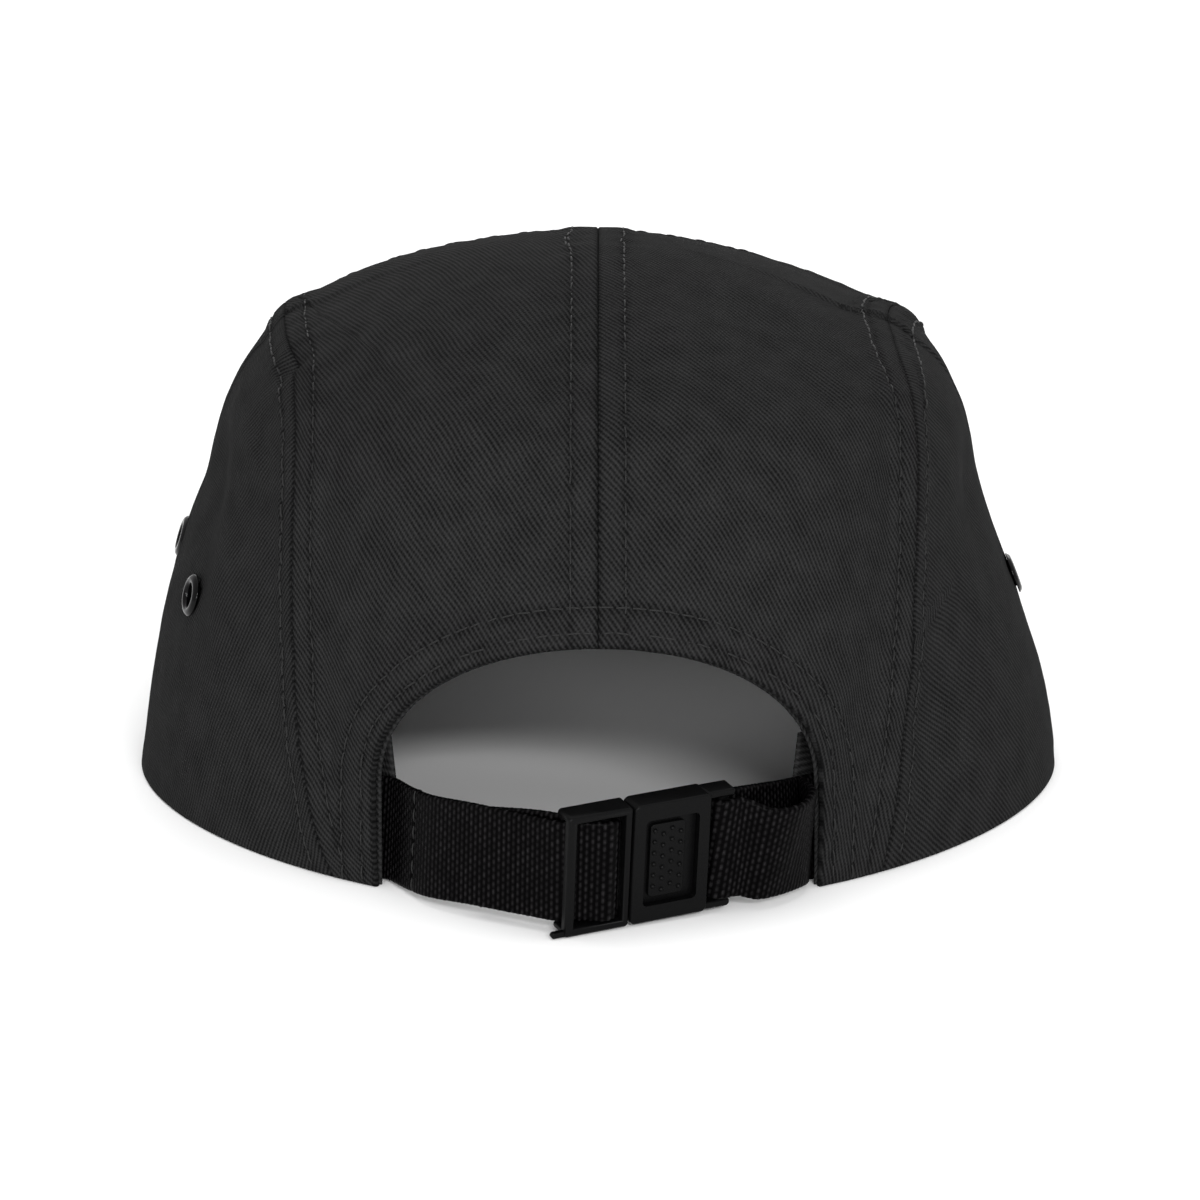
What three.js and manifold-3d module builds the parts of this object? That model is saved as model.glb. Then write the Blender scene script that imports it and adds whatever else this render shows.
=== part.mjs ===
// A five-panel camper cap in cotton twill: a hollow soft crown of five sewn panels, a cloth-covered visor,
// a sweatband, four metal eyelets, and a webbing strap with a centre-release buckle across the back arch.
// Millimetres. +Z is up, the visor points along -Y, and the cap stands on the plane z = 0.
import * as THREE from "three";
import { mergeVertices } from "three/addons/utils/BufferGeometryUtils.js";
import Module from "manifold-3d";

const wasm = await Module();
wasm.setup();

// Crown
const crownHalfWidth = 92; // the widest ring, at the rim
const crownHalfLength = 99; // from the crown's centre to the rim, front and back
const crownHeight = 105.5;
const clothWall = 1.6; // twill with its fused backing
const seamGap = 0.3; // between neighbouring pieces
const layerGap = 0.5; // between layers of cloth and webbing that lie on each other
const seamRidge = 1.3; // how far a sewn seam stands proud of the panels
const seamRidgeSpread = 6; // half-width of that ridge, along the cloth
const foldDepth = 5; // the deepest dent; the rows of crownFolds are shares of it
const rimFade = 0.08; // share of the cloth over which ridges and folds fade out to the rim
const seamSteps = 36; // facets along a side seam
const crossStep = 11; // the step, counted from the visor, at which the seam over the top meets it
const sideSteps = 11; // steps of a side seam that stand as the front and rear ends of a side panel
const backRows = 11; // facets of a back panel from the arch to its seams
const topColumns = 12; // facets across the front panel
const archColumns = 5; // facets of a back panel along the seam over the top
const archSpread = 1.35; // how much faster those facets run along the arch

// Back arch, the opening above the strap
const archHalfWidth = 41;
const archSpring = 20; // height of the arch's straight sides
const archRise = 27; // from there to its top
const facingWidth = 9; // of the turned hem inside the arch
const facingWall = 1;
const facingColumns = 36;

// Visor
const visorHalfWidth = 86;
const visorReach = 68; // from the crown's rim to the tip
const visorThickness = 3.6;
const visorRise = 8; // how much its middle stands above its sides
const visorDroop = 0.3; // share of that rise lost at the tip
const visorSet = 0.4; // from the crown's wall
const visorRows = 6;
const visorColumns = 28;

// Sweatband
const bandHeight = 28;
const bandWall = 1.2;
const bandShow = 0.6; // how far its ends stand past the arch's sides
const bandLift = 1.2; // of its lower edge above the rim
const bandPast = 13; // how far past the strap's hidden end it lies over the webbing
const bandEase = 15; // length over which it then goes back to the cloth
const bandColumns = 48;

// Eyelets, two in each side panel
const eyeletFlange = 8.4; // diameter
const eyeletHole = 4.4; // diameter
const eyeletWall = 0.5;
const eyeletProud = 0.9; // the flange's height above the cloth
const eyeletFlangeEdge = 0.3; // thickness at the flange's outer edge
const washerSet = 0.4; // how much less the washer inside reaches than the flange

// Webbing strap
const webbingWidth = 19.6; // nominal 20
const webbingThickness = 1.4;
const webbingLift = 0.6; // of its lower edge, at the arch
const strapTuck = 12; // length sewn inside the crown past the arch's side
const tailRise = 0.6; // how much higher the strap's loose end lies behind it
const loopLean = 3.4; // how far the loop's outer layer leans out at its top
const loopRise = 1.4; // how much higher its inner layer lies
const loopStraight = 3; // its straight length before it wraps its bar
const tailClear = 0.4; // more room for the strap's loose end
const strapSteps = 76;
const loopSteps = 70;

// Centre-release buckle
const buckleEnd = { x: 5.9, y: 110.6 }; // lower front corner of the plug half, in the crown's plan
const buckleTurn = 27; // degrees in plan
const buckleLean = 8; // degrees, its top outwards
const buckleRoll = 1.5; // degrees, its socket end upwards
const buckleDepth = 5;
const armHeight = 1.5; // of the frame's upper and lower arms
const outerBar = 1.8; // width of the plug half's end bar
const barRadius = 1.2; // of the two bars the webbing wraps
const shoulderWall = 1.4; // between the plug half's frame and its tongue
const socketLength = 15.6;
const socketWall = 1.2;
const buckleCorner = 0.7; // corner radius of bars and arms
const shellCorner = 1.2; // corner radius of the socket
const windowCorner = 0.9;
const softEdge = 0.3; // the small slope along its edges
const fineEdge = 0.1; // the same inside, where pieces slide
const joinDepth = 1; // how far an arm or a cut runs past the wall it meets
const armSet = 0.5; // the socket's arms behind its faces
const endBarWall = 0.6; // past the bar's end
const windowLength = 10.8;
const windowHeight = 17;
const tongueThickness = 1.2;
const tongueClearance = 0.4;
const padLength = 7;
const padHeight = 14.4;
const padSet = 0.8; // its face behind the socket's face
const padShift = 0.5; // towards the plug's bars
const bumpRadius = 0.5;
const bumpRows = 6;
const bumpColumns = 4;
const bumpStagger = 0.2; // share of a row by which columns stand up or down in turn
const bumpMargin = 0.6; // above and below the bumps
const footLength = 2.4; // the lip at the outer bar's foot
const footHeight = 1.2;
const footInset = 0.2; // share of the bar's width left on each side of the lip
const footLift = 0.1; // of the lip above the bar's end

// The crown's rings, from its top (out 0) to the rim (out 1). Reaches are shares of the crown's half-width
// or half-length, heights are shares of its height, and the two square columns are the exponents of the
// ring's outline behind and ahead of its middle, where 2 is an ellipse.
const ringColumns = [
  "out",
  "left",
  "right",
  "back",
  "front",
  "side",
  "rear",
  "fore",
  "squareBack",
  "squareFront",
];
const crownRings = [
  [0, 0, 0, 0, 0, 1, 1, 1, 2, 2],
  [0.1, 0.203, 0.155, 0.142, 0.138, 0.991, 0.993, 0.998, 2.02, 2.02],
  [0.2, 0.378, 0.292, 0.28, 0.278, 0.958, 0.957, 0.972, 2.08, 2.08],
  [0.3, 0.522, 0.422, 0.418, 0.43, 0.913, 0.91, 0.935, 2.12, 2.16],
  [0.38, 0.618, 0.52, 0.53, 0.56, 0.871, 0.861, 0.893, 2.1, 2.22],
  [0.44, 0.68, 0.612, 0.617, 0.662, 0.833, 0.82, 0.859, 2.06, 2.25],
  [0.5, 0.748, 0.72, 0.695, 0.753, 0.779, 0.77, 0.811, 2.02, 2.25],
  [0.55, 0.8, 0.775, 0.752, 0.818, 0.702, 0.697, 0.74, 1.98, 2.24],
  [0.6, 0.824, 0.802, 0.798, 0.874, 0.627, 0.626, 0.663, 1.94, 2.22],
  [0.645, 0.843, 0.816, 0.835, 0.909, 0.556, 0.556, 0.589, 1.92, 2.2],
  [0.71, 0.888, 0.853, 0.875, 0.947, 0.456, 0.456, 0.484, 1.88, 2.16],
  [0.78, 0.924, 0.903, 0.908, 0.975, 0.352, 0.352, 0.371, 1.84, 2.12],
  [0.85, 0.955, 0.946, 0.937, 0.993, 0.237, 0.237, 0.251, 1.8, 2.08],
  [0.92, 0.98, 0.978, 0.957, 1.005, 0.123, 0.123, 0.133, 1.78, 2.04],
  [1, 1, 1, 0.97, 1.01, 0, 0, 0, 1.76, 2],
].map((row) => Object.fromEntries(ringColumns.map((name, i) => [name, row[i]])));

// The two side seams on the flattened crown, from the visor's ends over the top to the back rim, in shares
// of the cloth's length from the crown's top to its rim. left and right are to the side, along is to the
// back, and the first and last rows lie just past the rim.
const sideSeams = [
  { left: 0.8, right: 0.8, along: -0.7 },
  { left: 0.755, right: 0.755, along: -0.656 },
  { left: 0.66, right: 0.66, along: -0.57 },
  { left: 0.565, right: 0.565, along: -0.45 },
  { left: 0.488, right: 0.49, along: -0.31 },
  { left: 0.436, right: 0.444, along: -0.18 },
  { left: 0.422, right: 0.44, along: -0.05 },
  { left: 0.414, right: 0.437, along: 0.08 },
  { left: 0.405, right: 0.432, along: 0.2 },
  { left: 0.405, right: 0.438, along: 0.28 },
  { left: 0.411, right: 0.461, along: 0.35 },
  { left: 0.452, right: 0.499, along: 0.45 },
  { left: 0.492, right: 0.527, along: 0.56 },
  { left: 0.526, right: 0.546, along: 0.66 },
  { left: 0.537, right: 0.566, along: 0.75 },
  { left: 0.542, right: 0.589, along: 0.82 },
  { left: 0.54, right: 0.605, along: 0.88 },
];

// Dents (push below 0) and soft ridges of the unworn cloth, on the flattened crown. length and width are
// half-sizes in the same shares as the seam's, turn is the fold's direction in degrees, and push is a share
// of foldDepth.
const crownFolds = [
  { across: 0.41, along: 0.2, length: 0.035, width: 0.025, turn: 20, push: -0.5 },
  { across: 0.59, along: 0.14, length: 0.12, width: 0.045, turn: 70, push: -0.35 },
  { across: 0.62, along: 0.3, length: 0.12, width: 0.05, turn: 70, push: 0.2 },
  { across: -0.62, along: 0.14, length: 0.1, width: 0.05, turn: 110, push: -0.3 },
  { across: -0.24, along: 0.24, length: 0.14, width: 0.07, turn: 130, push: -0.3 },
  { across: -0.12, along: 0.42, length: 0.16, width: 0.05, turn: 100, push: 0.2 },
  { across: 0.2, along: 0.4, length: 0.18, width: 0.07, turn: 60, push: 0.2 },
  { across: -0.62, along: 0.52, length: 0.16, width: 0.05, turn: 60, push: -0.25 },
];

// The visor's left outline in plan, from its end at the side seam to its tip. across is a share of its
// half-width, and ahead a share of the length from its end to its tip.
const visorOutline = [
  { across: 0.845, ahead: 0.0 },
  { across: 0.93, ahead: 0.09 },
  { across: 0.985, ahead: 0.22 },
  { across: 1.0, ahead: 0.35 },
  { across: 0.988, ahead: 0.48 },
  { across: 0.94, ahead: 0.63 },
  { across: 0.84, ahead: 0.77 },
  { across: 0.68, ahead: 0.885 },
  { across: 0.46, ahead: 0.96 },
  { across: 0.23, ahead: 0.992 },
  { across: 0.0, ahead: 1.0 },
];

// Where the eyelets lie: behind is the distance behind the crown's middle, and height is above the rim.
const eyelets = [
  { side: "left", end: "rear", behind: 27, height: 41 },
  { side: "left", end: "front", behind: 0, height: 46 },
  { side: "right", end: "rear", behind: 0.5, height: 38.5 },
  { side: "right", end: "front", behind: -26.5, height: 43.5 },
];

// How each strap bows out beside the arch: along is the share of the way from the arch to the buckle, out is
// a distance, and lean is a share of loopLean.
const leftStrapBow = [
  { along: 0.14, out: 2.9 },
  { along: 0.34, out: 5.2 },
  { along: 0.58, out: 4.4 },
  { along: 0.82, out: 2.2 },
];
const rightStrapBow = [
  { along: 0.3, out: 3.8, lean: 0.6 },
  { along: 0.65, out: 3.8, lean: 1 },
];
const innerLoopBow = [
  { along: 0.35, out: 0.4 },
  { along: 0.7, out: 0.6 },
];

// The dome of an eyelet's flange, from its edge to its hole, as shares of its width and of its height
const eyeletDome = [
  { across: 0.72, up: 0.86 },
  { across: 0.42, up: 1 },
  { across: 0.14, up: 0.82 },
];

// Lengths along the rim are turned into angles by this radius
const rimRadius = (crownHalfWidth + crownHalfLength) / 2;

const degrees = Math.PI / 180;
const mix = (from, to, share) => from + (to - from) * share;
const between = (from, to, share) => from.map((value, i) => mix(value, to[i], share));

// A smooth function through a table's rows, with the slope at each row taken from its neighbours
function smoothThrough(rows, key, column) {
  const slope = (i) => {
    const before = rows[Math.max(0, i - 1)];
    const after = rows[Math.min(rows.length - 1, i + 1)];
    return (after[column] - before[column]) / (after[key] - before[key]);
  };
  return (at) => {
    let i = rows.findIndex((row) => row[key] > at) - 1;
    if (i < 0) i = at <= rows[0][key] ? 0 : rows.length - 2;
    const span = rows[i + 1][key] - rows[i][key];
    const t = (at - rows[i][key]) / span;
    const rise = rows[i + 1][column] - rows[i][column];
    const startSlope = slope(i) * span;
    const endSlope = slope(i + 1) * span;
    const bend = (startSlope + endSlope - 2 * rise) * t + (3 * rise - 2 * startSlope - endSlope);
    return rows[i][column] + t * (startSlope + t * bend);
  };
}

// The rings go on past the top as their own mirror image, so that the crown is level there
const mirroredRow = { ...crownRings[1] };
for (const name of ["out", "left", "right", "back", "front"]) mirroredRow[name] *= -1;
const ringRows = [mirroredRow, ...crownRings];
const ring = Object.fromEntries(
  Object.keys(crownRings[0]).map((column) => [column, smoothThrough(ringRows, "out", column)]),
);

// Distance from the crown's axis to its ring, in that direction
function ringReach(out, turn) {
  const [c, s] = [Math.cos(turn), Math.sin(turn)];
  const half = (c >= 0 ? ring.left(out) : ring.right(out)) * crownHalfWidth;
  const long = (s >= 0 ? ring.back(out) : ring.front(out)) * crownHalfLength;
  const n = s >= 0 ? ring.squareBack(out) : ring.squareFront(out);
  return Math.pow(Math.pow(Math.abs(c) / half, n) + Math.pow(Math.abs(s) / long, n), -1 / n);
}

// How far the visor's curve lifts the rim, that far to the side
const visorLift = (x) => visorRise * Math.max(0, 1 - (x / visorHalfWidth) ** 2);

// The crown's outer face before its ridges and folds. A place is a point of the flattened crown, whose top
// is at 0, 0 and whose rim is the unit circle, with the first number to the left and the second to the back.
function smoothCrown([across, along]) {
  const out = Math.hypot(across, along);
  if (out < 1e-9) return new THREE.Vector3(0, 0, crownHeight);
  const turn = Math.atan2(along, across);
  const reach = ringReach(out, turn);
  const [c, s] = [across / out, along / out];
  const height = mix(ring.side(out), s >= 0 ? ring.rear(out) : ring.fore(out), s * s) * crownHeight;
  const lift = s < 0 ? visorLift(reach * c) * out * out : 0;
  return new THREE.Vector3(reach * c, reach * s, height + lift);
}

// The two directions of the flattened crown, as they run on the cloth
function clothDirections([across, along]) {
  const h = 0.004;
  const acrossWay = smoothCrown([across + h, along]).sub(smoothCrown([across - h, along]));
  const alongWay = smoothCrown([across, along + h]).sub(smoothCrown([across, along - h]));
  return [acrossWay.divideScalar(2 * h), alongWay.divideScalar(2 * h)];
}

// A place moved along the cloth, square to a path that runs in that direction, to the path's left
function beside(place, direction, distance) {
  const [acrossWay, alongWay] = clothDirections(place);
  const [xx, xy, yy] = [acrossWay.dot(acrossWay), acrossWay.dot(alongWay), alongWay.dot(alongWay)];
  const side = [-(xy * direction[0] + yy * direction[1]), xx * direction[0] + xy * direction[1]];
  const size = Math.sqrt(xx * side[0] ** 2 + 2 * xy * side[0] * side[1] + yy * side[1] ** 2);
  return [place[0] + (side[0] * distance) / size, place[1] + (side[1] * distance) / size];
}

// A path over the flattened crown through places, shifted sideways along the cloth
function clothPath(places, shift = 0) {
  const curve = new THREE.CatmullRomCurve3(
    places.map(([x, y]) => new THREE.Vector3(x, y, 0)),
    false,
    "centripetal",
  );
  return (share) => {
    const at = Math.min(1, Math.max(0, share));
    const place = curve.getPointAt(at);
    if (shift === 0) return [place.x, place.y];
    const way = curve.getTangentAt(at);
    return beside([place.x, place.y], [way.x, way.y], shift);
  };
}

// The share of a path at which a test stops holding
function shareWhere(path, from, to, test) {
  let [low, high] = [from, to];
  for (let i = 0; i < 40; i++) {
    const middle = (low + high) / 2;
    if (test(path(middle))) low = middle;
    else high = middle;
  }
  return low;
}

const rimAt = (turn) => [Math.cos(turn), Math.sin(turn)];
const turnOf = (place) => Math.atan2(place[1], place[0]);
const insideRim = (place) => Math.hypot(...place) < 1;

// A side seam on the positive side, shifted sideways and cut off at the rim; share 0 is at the visor
function sideSeamPath(sideName, shift) {
  const path = clothPath(
    sideSeams.map((row) => [row[sideName], row.along]),
    shift,
  );
  const start = shareWhere(path, 0.5, 0, insideRim);
  const end = shareWhere(path, 0.5, 1, insideRim);
  return (share) => {
    const place = path(mix(start, end, share));
    return share === 0 || share === 1 ? rimAt(turnOf(place)) : place;
  };
}

const bothSides = (make) => ({ left: make("left"), right: make("right") });
const seam = bothSides((sideName) => sideSeamPath(sideName, 0));
const outerSeam = bothSides((sideName) => sideSeamPath(sideName, -seamGap / 2));
const innerSeam = bothSides((sideName) => sideSeamPath(sideName, seamGap / 2));

// Distance from a place to the nearer side seam, along the cloth
const sampleShares = Array.from({ length: 61 }, (_, i) => i / 60);
const seamSamples = bothSides((sideName) => sampleShares.map(seam[sideName]));
const clothLength = sampleShares.slice(1).reduce((length, share, i) => {
  const [from, to] = [smoothCrown([sampleShares[i], 0]), smoothCrown([share, 0])];
  return length + from.distanceTo(to);
}, 0);
function seamDistance([across, along]) {
  const x = Math.abs(across);
  const samples = across > 0 ? seamSamples.left : seamSamples.right;
  let nearest = Infinity;
  for (let i = 0; i + 1 < samples.length; i++) {
    const [from, to] = [samples[i], samples[i + 1]];
    const [dx, dy] = [to[0] - from[0], to[1] - from[1]];
    const reach = ((x - from[0]) * dx + (along - from[1]) * dy) / (dx * dx + dy * dy);
    const t = THREE.MathUtils.clamp(reach, 0, 1);
    nearest = Math.min(nearest, Math.hypot(x - from[0] - t * dx, along - from[1] - t * dy));
  }
  return nearest * clothLength;
}

// The crown's outer face: the rings, the ridge along each side seam, and the folds, which fade at the rim
function crown(place) {
  const distance = seamDistance(place) / seamRidgeSpread;
  let push = seamRidge * Math.exp(-distance * distance);
  for (const fold of crownFolds) {
    const [dx, dy] = [place[0] - fold.across, place[1] - fold.along];
    const [c, s] = [Math.cos(fold.turn * degrees), Math.sin(fold.turn * degrees)];
    const [l, w] = [(dx * c + dy * s) / fold.length, (dy * c - dx * s) / fold.width];
    push += foldDepth * fold.push * Math.exp(-l * l - w * w);
  }
  const fade = THREE.MathUtils.clamp((1 - Math.hypot(...place)) / rimFade, 0, 1);
  const [acrossWay, alongWay] = clothDirections(place);
  return smoothCrown(place).addScaledVector(acrossWay.cross(alongWay).normalize(), push * fade);
}

// A point below the crown's outer face, that deep; a point of the rim stays at the rim's height
function underCrown(place, depth) {
  const h = 0.004;
  const way = crown([place[0] + h, place[1]]).sub(crown([place[0] - h, place[1]]));
  const other = crown([place[0], place[1] + h]).sub(crown([place[0], place[1] - h]));
  const point = crown(place);
  const under = point.clone().addScaledVector(way.cross(other).normalize(), -depth);
  if (Math.hypot(...place) > 0.9999) under.z = point.z;
  return under;
}

// The place in that direction at that height above the rim
function placeAtHeight(turn, height) {
  const rim = smoothCrown(rimAt(turn)).z;
  let [low, high] = [0.02, 1.05];
  for (let i = 0; i < 40; i++) {
    const out = (low + high) / 2;
    if (smoothCrown([out * Math.cos(turn), out * Math.sin(turn)]).z - rim > height) low = out;
    else high = out;
  }
  return [low * Math.cos(turn), low * Math.sin(turn)];
}

// The place on the left back of the crown that far to the side and that high
function placeOnBack(x, height) {
  let [low, high] = [20 * degrees, 90 * degrees];
  for (let i = 0; i < 40; i++) {
    const turn = (low + high) / 2;
    if (smoothCrown(placeAtHeight(turn, height)).x > x) low = turn;
    else high = turn;
  }
  return placeAtHeight(low, height);
}

// A closed solid from two faces, each given as rows of points
function wallGeometry(outer, inner) {
  const [rows, columns] = [outer.length, outer[0].length];
  const positions = [...outer.flat(), ...inner.flat()].flatMap((p) => [p.x, p.y, p.z]);
  const at = (face, r, c) => face * rows * columns + r * columns + c;
  const index = [];
  const quad = (a, b, c, d) => index.push(a, b, c, a, c, d);
  for (let r = 0; r + 1 < rows; r++) {
    for (let c = 0; c + 1 < columns; c++) {
      quad(at(0, r, c), at(0, r, c + 1), at(0, r + 1, c + 1), at(0, r + 1, c));
      quad(at(1, r, c), at(1, r + 1, c), at(1, r + 1, c + 1), at(1, r, c + 1));
    }
    quad(at(0, r, 0), at(0, r + 1, 0), at(1, r + 1, 0), at(1, r, 0));
    const last = columns - 1;
    quad(at(0, r + 1, last), at(0, r, last), at(1, r, last), at(1, r + 1, last));
  }
  for (let c = 0; c + 1 < columns; c++) {
    quad(at(0, 0, c + 1), at(0, 0, c), at(1, 0, c), at(1, 0, c + 1));
    quad(at(0, rows - 1, c), at(0, rows - 1, c + 1), at(1, rows - 1, c + 1), at(1, rows - 1, c));
  }
  const geometry = new THREE.BufferGeometry();
  geometry.setAttribute("position", new THREE.Float32BufferAttribute(positions, 3));
  geometry.setIndex(index);
  return facingOut(geometry);
}

// The same closed geometry with its faces turned outwards
function facingOut(geometry) {
  const position = geometry.getAttribute("position");
  const index = geometry.index.array;
  const corner = (i) => new THREE.Vector3().fromBufferAttribute(position, index[i]);
  let volume = 0;
  for (let i = 0; i < index.length; i += 3) volume += corner(i).dot(corner(i + 1).cross(corner(i + 2)));
  for (let i = 0; volume < 0 && i < index.length; i += 3) {
    [index[i], index[i + 1]] = [index[i + 1], index[i]];
  }
  geometry.computeVertexNormals();
  return geometry;
}

// A layer of cloth under the crown's face: places maps a row and a column, from 0 to 1, to a place
function clothLayer(places, depth, wall, rowCount, columnCount) {
  const face = (deep) =>
    Array.from({ length: rowCount + 1 }, (_, r) =>
      Array.from({ length: columnCount + 1 }, (_, c) => {
        const [row, column] = [r / rowCount, c / columnCount];
        const extra = typeof depth === "function" ? depth(row, column) : depth;
        return underCrown(places(row, column), extra + deep);
      }),
    );
  return wallGeometry(face(0), face(wall));
}

// The places between four edges, each a function of a share from 0 to 1
function patch(bottom, top, left, right) {
  return (row, column) => {
    const rise = between(bottom(column), top(column), row);
    const run = between(left(row), right(row), column);
    const low = between(bottom(0), bottom(1), column);
    const high = between(top(0), top(1), column);
    const flat = between(low, high, row);
    return [rise[0] + run[0] - flat[0], rise[1] + run[1] - flat[1]];
  };
}

const mirrorPlace = ([across, along]) => [-across, along];
const mirrored = (places) => (row, column) => mirrorPlace(places(row, column));
const rimBetween = (from, to) => (share) => rimAt(mix(turnOf(from), turnOf(to), share));

// A side panel on the positive side, from the rim up to its seam
function sidePanelPlaces(sideName) {
  const [fore, rear] = [sideSteps / seamSteps, 1 - sideSteps / seamSteps];
  const edge = outerSeam[sideName];
  return patch(
    rimBetween(edge(0), edge(1)),
    (column) => edge(mix(fore, rear, column)),
    (row) => edge(mix(0, fore, row)),
    (row) => edge(mix(1, rear, row)),
  );
}

// The back arch on the flattened crown, from the middle of its top to its left foot
const archPlaces = (() => {
  const places = [];
  const arcSteps = 16;
  for (let i = 0; i <= arcSteps; i++) {
    const turn = (i / arcSteps) * 90 * degrees;
    places.push(placeOnBack(archHalfWidth * Math.sin(turn), archSpring + archRise * Math.cos(turn)));
  }
  const straightSteps = 6;
  for (let i = 1; i <= straightSteps; i++) {
    places.push(placeOnBack(archHalfWidth, archSpring * (1 - i / straightSteps)));
  }
  places[places.length - 1] = rimAt(turnOf(places.at(-1)));
  return places;
})();
const archPath = clothPath(archPlaces);
const archFoot = turnOf(archPlaces.at(-1));

// Where the seam over the top meets each side seam
const crossShare = crossStep / seamSteps;
const crossing = bothSides((sideName) => innerSeam[sideName](crossShare));
const backColumns = archColumns + seamSteps - crossStep;

// A back panel on the positive side, from the arch to its side seam and the seam over the top
function backPanelPlaces(sideName) {
  const half = seamGap / 2 / clothLength;
  const edge = innerSeam[sideName];
  const corner = archColumns / backColumns;
  const cross = [crossing[sideName][0], crossing[sideName][1] + seamGap / clothLength];
  const topLine = (crossing.left[1] + crossing.right[1]) / 2 + seamGap / clothLength;
  const outerEdge = (column) => {
    if (column < corner + 1e-6) return between([half, topLine], cross, column / corner);
    return edge(mix(crossShare, 1, (column - corner) / (1 - corner)));
  };
  const archShare = (column) => {
    if (column < corner) return archSpread * column;
    return mix(archSpread * corner, 1, (column - corner) / (1 - corner));
  };
  const arch = (column) => (column === 0 ? [half, archPath(0)[1]] : archPath(archShare(column)));
  return patch(
    arch,
    outerEdge,
    (row) => between([half, archPath(0)[1]], [half, topLine], row),
    rimBetween(archPath(1), edge(1)),
  );
}

// The front panel, from the visor up to the seam over the top
function frontPanelPlaces() {
  const left = (row) => innerSeam.left(row * crossShare);
  const right = (row) => mirrorPlace(innerSeam.right(row * crossShare));
  const [start, end] = [turnOf(left(0)), turnOf(right(0)) - 2 * Math.PI * (right(0)[1] > 0)];
  return patch(
    (column) => rimAt(mix(start, end, column)),
    (column) => between(crossing.left, mirrorPlace(crossing.right), column),
    left,
    right,
  );
}

// The hem turned inside the arch, over both back panels
function facingPlaces(row, column) {
  const side = column < 0.5 ? 1 : -1;
  const share = Math.abs(2 * column - 1);
  const h = 0.01;
  const [before, after] = [archPath(share - h), archPath(share + h)];
  const way = [after[0] - before[0], share < h ? 0 : after[1] - before[1]];
  const place = beside(archPath(share), way, -facingWidth * row);
  const onRim = share === 1 ? rimAt(turnOf(place)) : place;
  return [side * onRim[0], onRim[1]];
}

const facingDepth = clothWall + layerGap;
const strapDepth = facingDepth + facingWall + layerGap;
const layerStep = webbingThickness + layerGap;

// How deep the sweatband lies; it clears one layer of webbing on the left of the arch and two on the right
function bandDepth(turn) {
  const past = (foot) => Math.abs(Math.atan2(Math.sin(turn - foot), Math.cos(turn - foot))) * rimRadius;
  const reach = strapTuck + bandPast + bandEase;
  const share = (foot) => THREE.MathUtils.smoothstep(reach - past(foot), 0, bandEase);
  const under = facingDepth + facingWall - clothWall + layerStep;
  const left = share(archFoot) * under;
  const right = share(Math.PI - archFoot) * (under + layerStep);
  return clothWall + layerGap + left + right;
}

function sweatbandGeometry() {
  const show = bandShow / rimRadius;
  const start = archFoot + show;
  const end = -Math.PI - archFoot - show;
  const turnAt = (column) => mix(start, end, column);
  const places = (row, column) => placeAtHeight(turnAt(column), mix(bandLift, bandHeight, row));
  return clothLayer(places, (row, column) => bandDepth(turnAt(column)), bandWall, 2, bandColumns);
}

// The visor, a curved board in its cloth, from the crown's front rim to its outline
function visorGeometry() {
  const seamEnd = smoothCrown(seam.left(0));
  const tip = smoothCrown([0, -1]).y - visorReach;
  const halfOutline = visorOutline.map(
    (row) => new THREE.Vector3(row.across * visorHalfWidth, mix(seamEnd.y, tip, row.ahead), 0),
  );
  const otherHalf = halfOutline.slice(0, -1).reverse().map((p) => new THREE.Vector3(-p.x, p.y, 0));
  const outline = new THREE.CatmullRomCurve3([...halfOutline, ...otherHalf], false, "centripetal");
  const start = turnOf(seam.left(0));
  const [rows, columns] = [visorRows, visorColumns];
  const face = (rise) =>
    Array.from({ length: rows + 1 }, (_, r) =>
      Array.from({ length: columns + 1 }, (_, c) => {
        const inner = smoothCrown(rimAt(mix(start, -Math.PI - start, c / columns)));
        const way = inner.clone().setZ(0).normalize();
        inner.addScaledVector(way, visorSet);
        const point = inner.lerp(outline.getPointAt(c / columns), r / rows);
        point.z = visorLift(point.x) * (1 - (visorDroop * r) / rows) + rise;
        return point;
      }),
    );
  return wallGeometry(face(visorThickness), face(0));
}

// A ribbon of webbing between the paths of its lower and upper edges, which share their steps
function ribbonGeometry(lower, upper, steps) {
  const low = new THREE.CatmullRomCurve3(lower, false, "centripetal");
  const high = new THREE.CatmullRomCurve3(upper, false, "centripetal");
  const face = (side) =>
    [0, 1].map((row) =>
      Array.from({ length: steps + 1 }, (_, i) => {
        const t = i / steps;
        const [bottom, top] = [low.getPoint(t), high.getPoint(t)];
        const h = 0.25 / steps;
        const way = low.getPoint(Math.min(1, t + h)).sub(low.getPoint(Math.max(0, t - h)));
        const normal = way.cross(top.clone().sub(bottom)).normalize();
        return bottom.lerp(top, row).addScaledVector(normal, (side * webbingThickness) / 2);
      }),
    );
  return wallGeometry(face(1), face(-1));
}

// The buckle's own axes: x runs back along the strap from the plug half's end, y outwards, and z up
const buckleFrame = new THREE.Group();
buckleFrame.name = "buckle";
buckleFrame.position.set(buckleEnd.x, buckleEnd.y, 0);
buckleFrame.rotation.set(-buckleLean * degrees, buckleRoll * degrees, buckleTurn * degrees, "ZXY");
buckleFrame.updateMatrix();
const onBuckle = (x, y, z) => new THREE.Vector3(x, y, z).applyMatrix4(buckleFrame.matrix);

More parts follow.
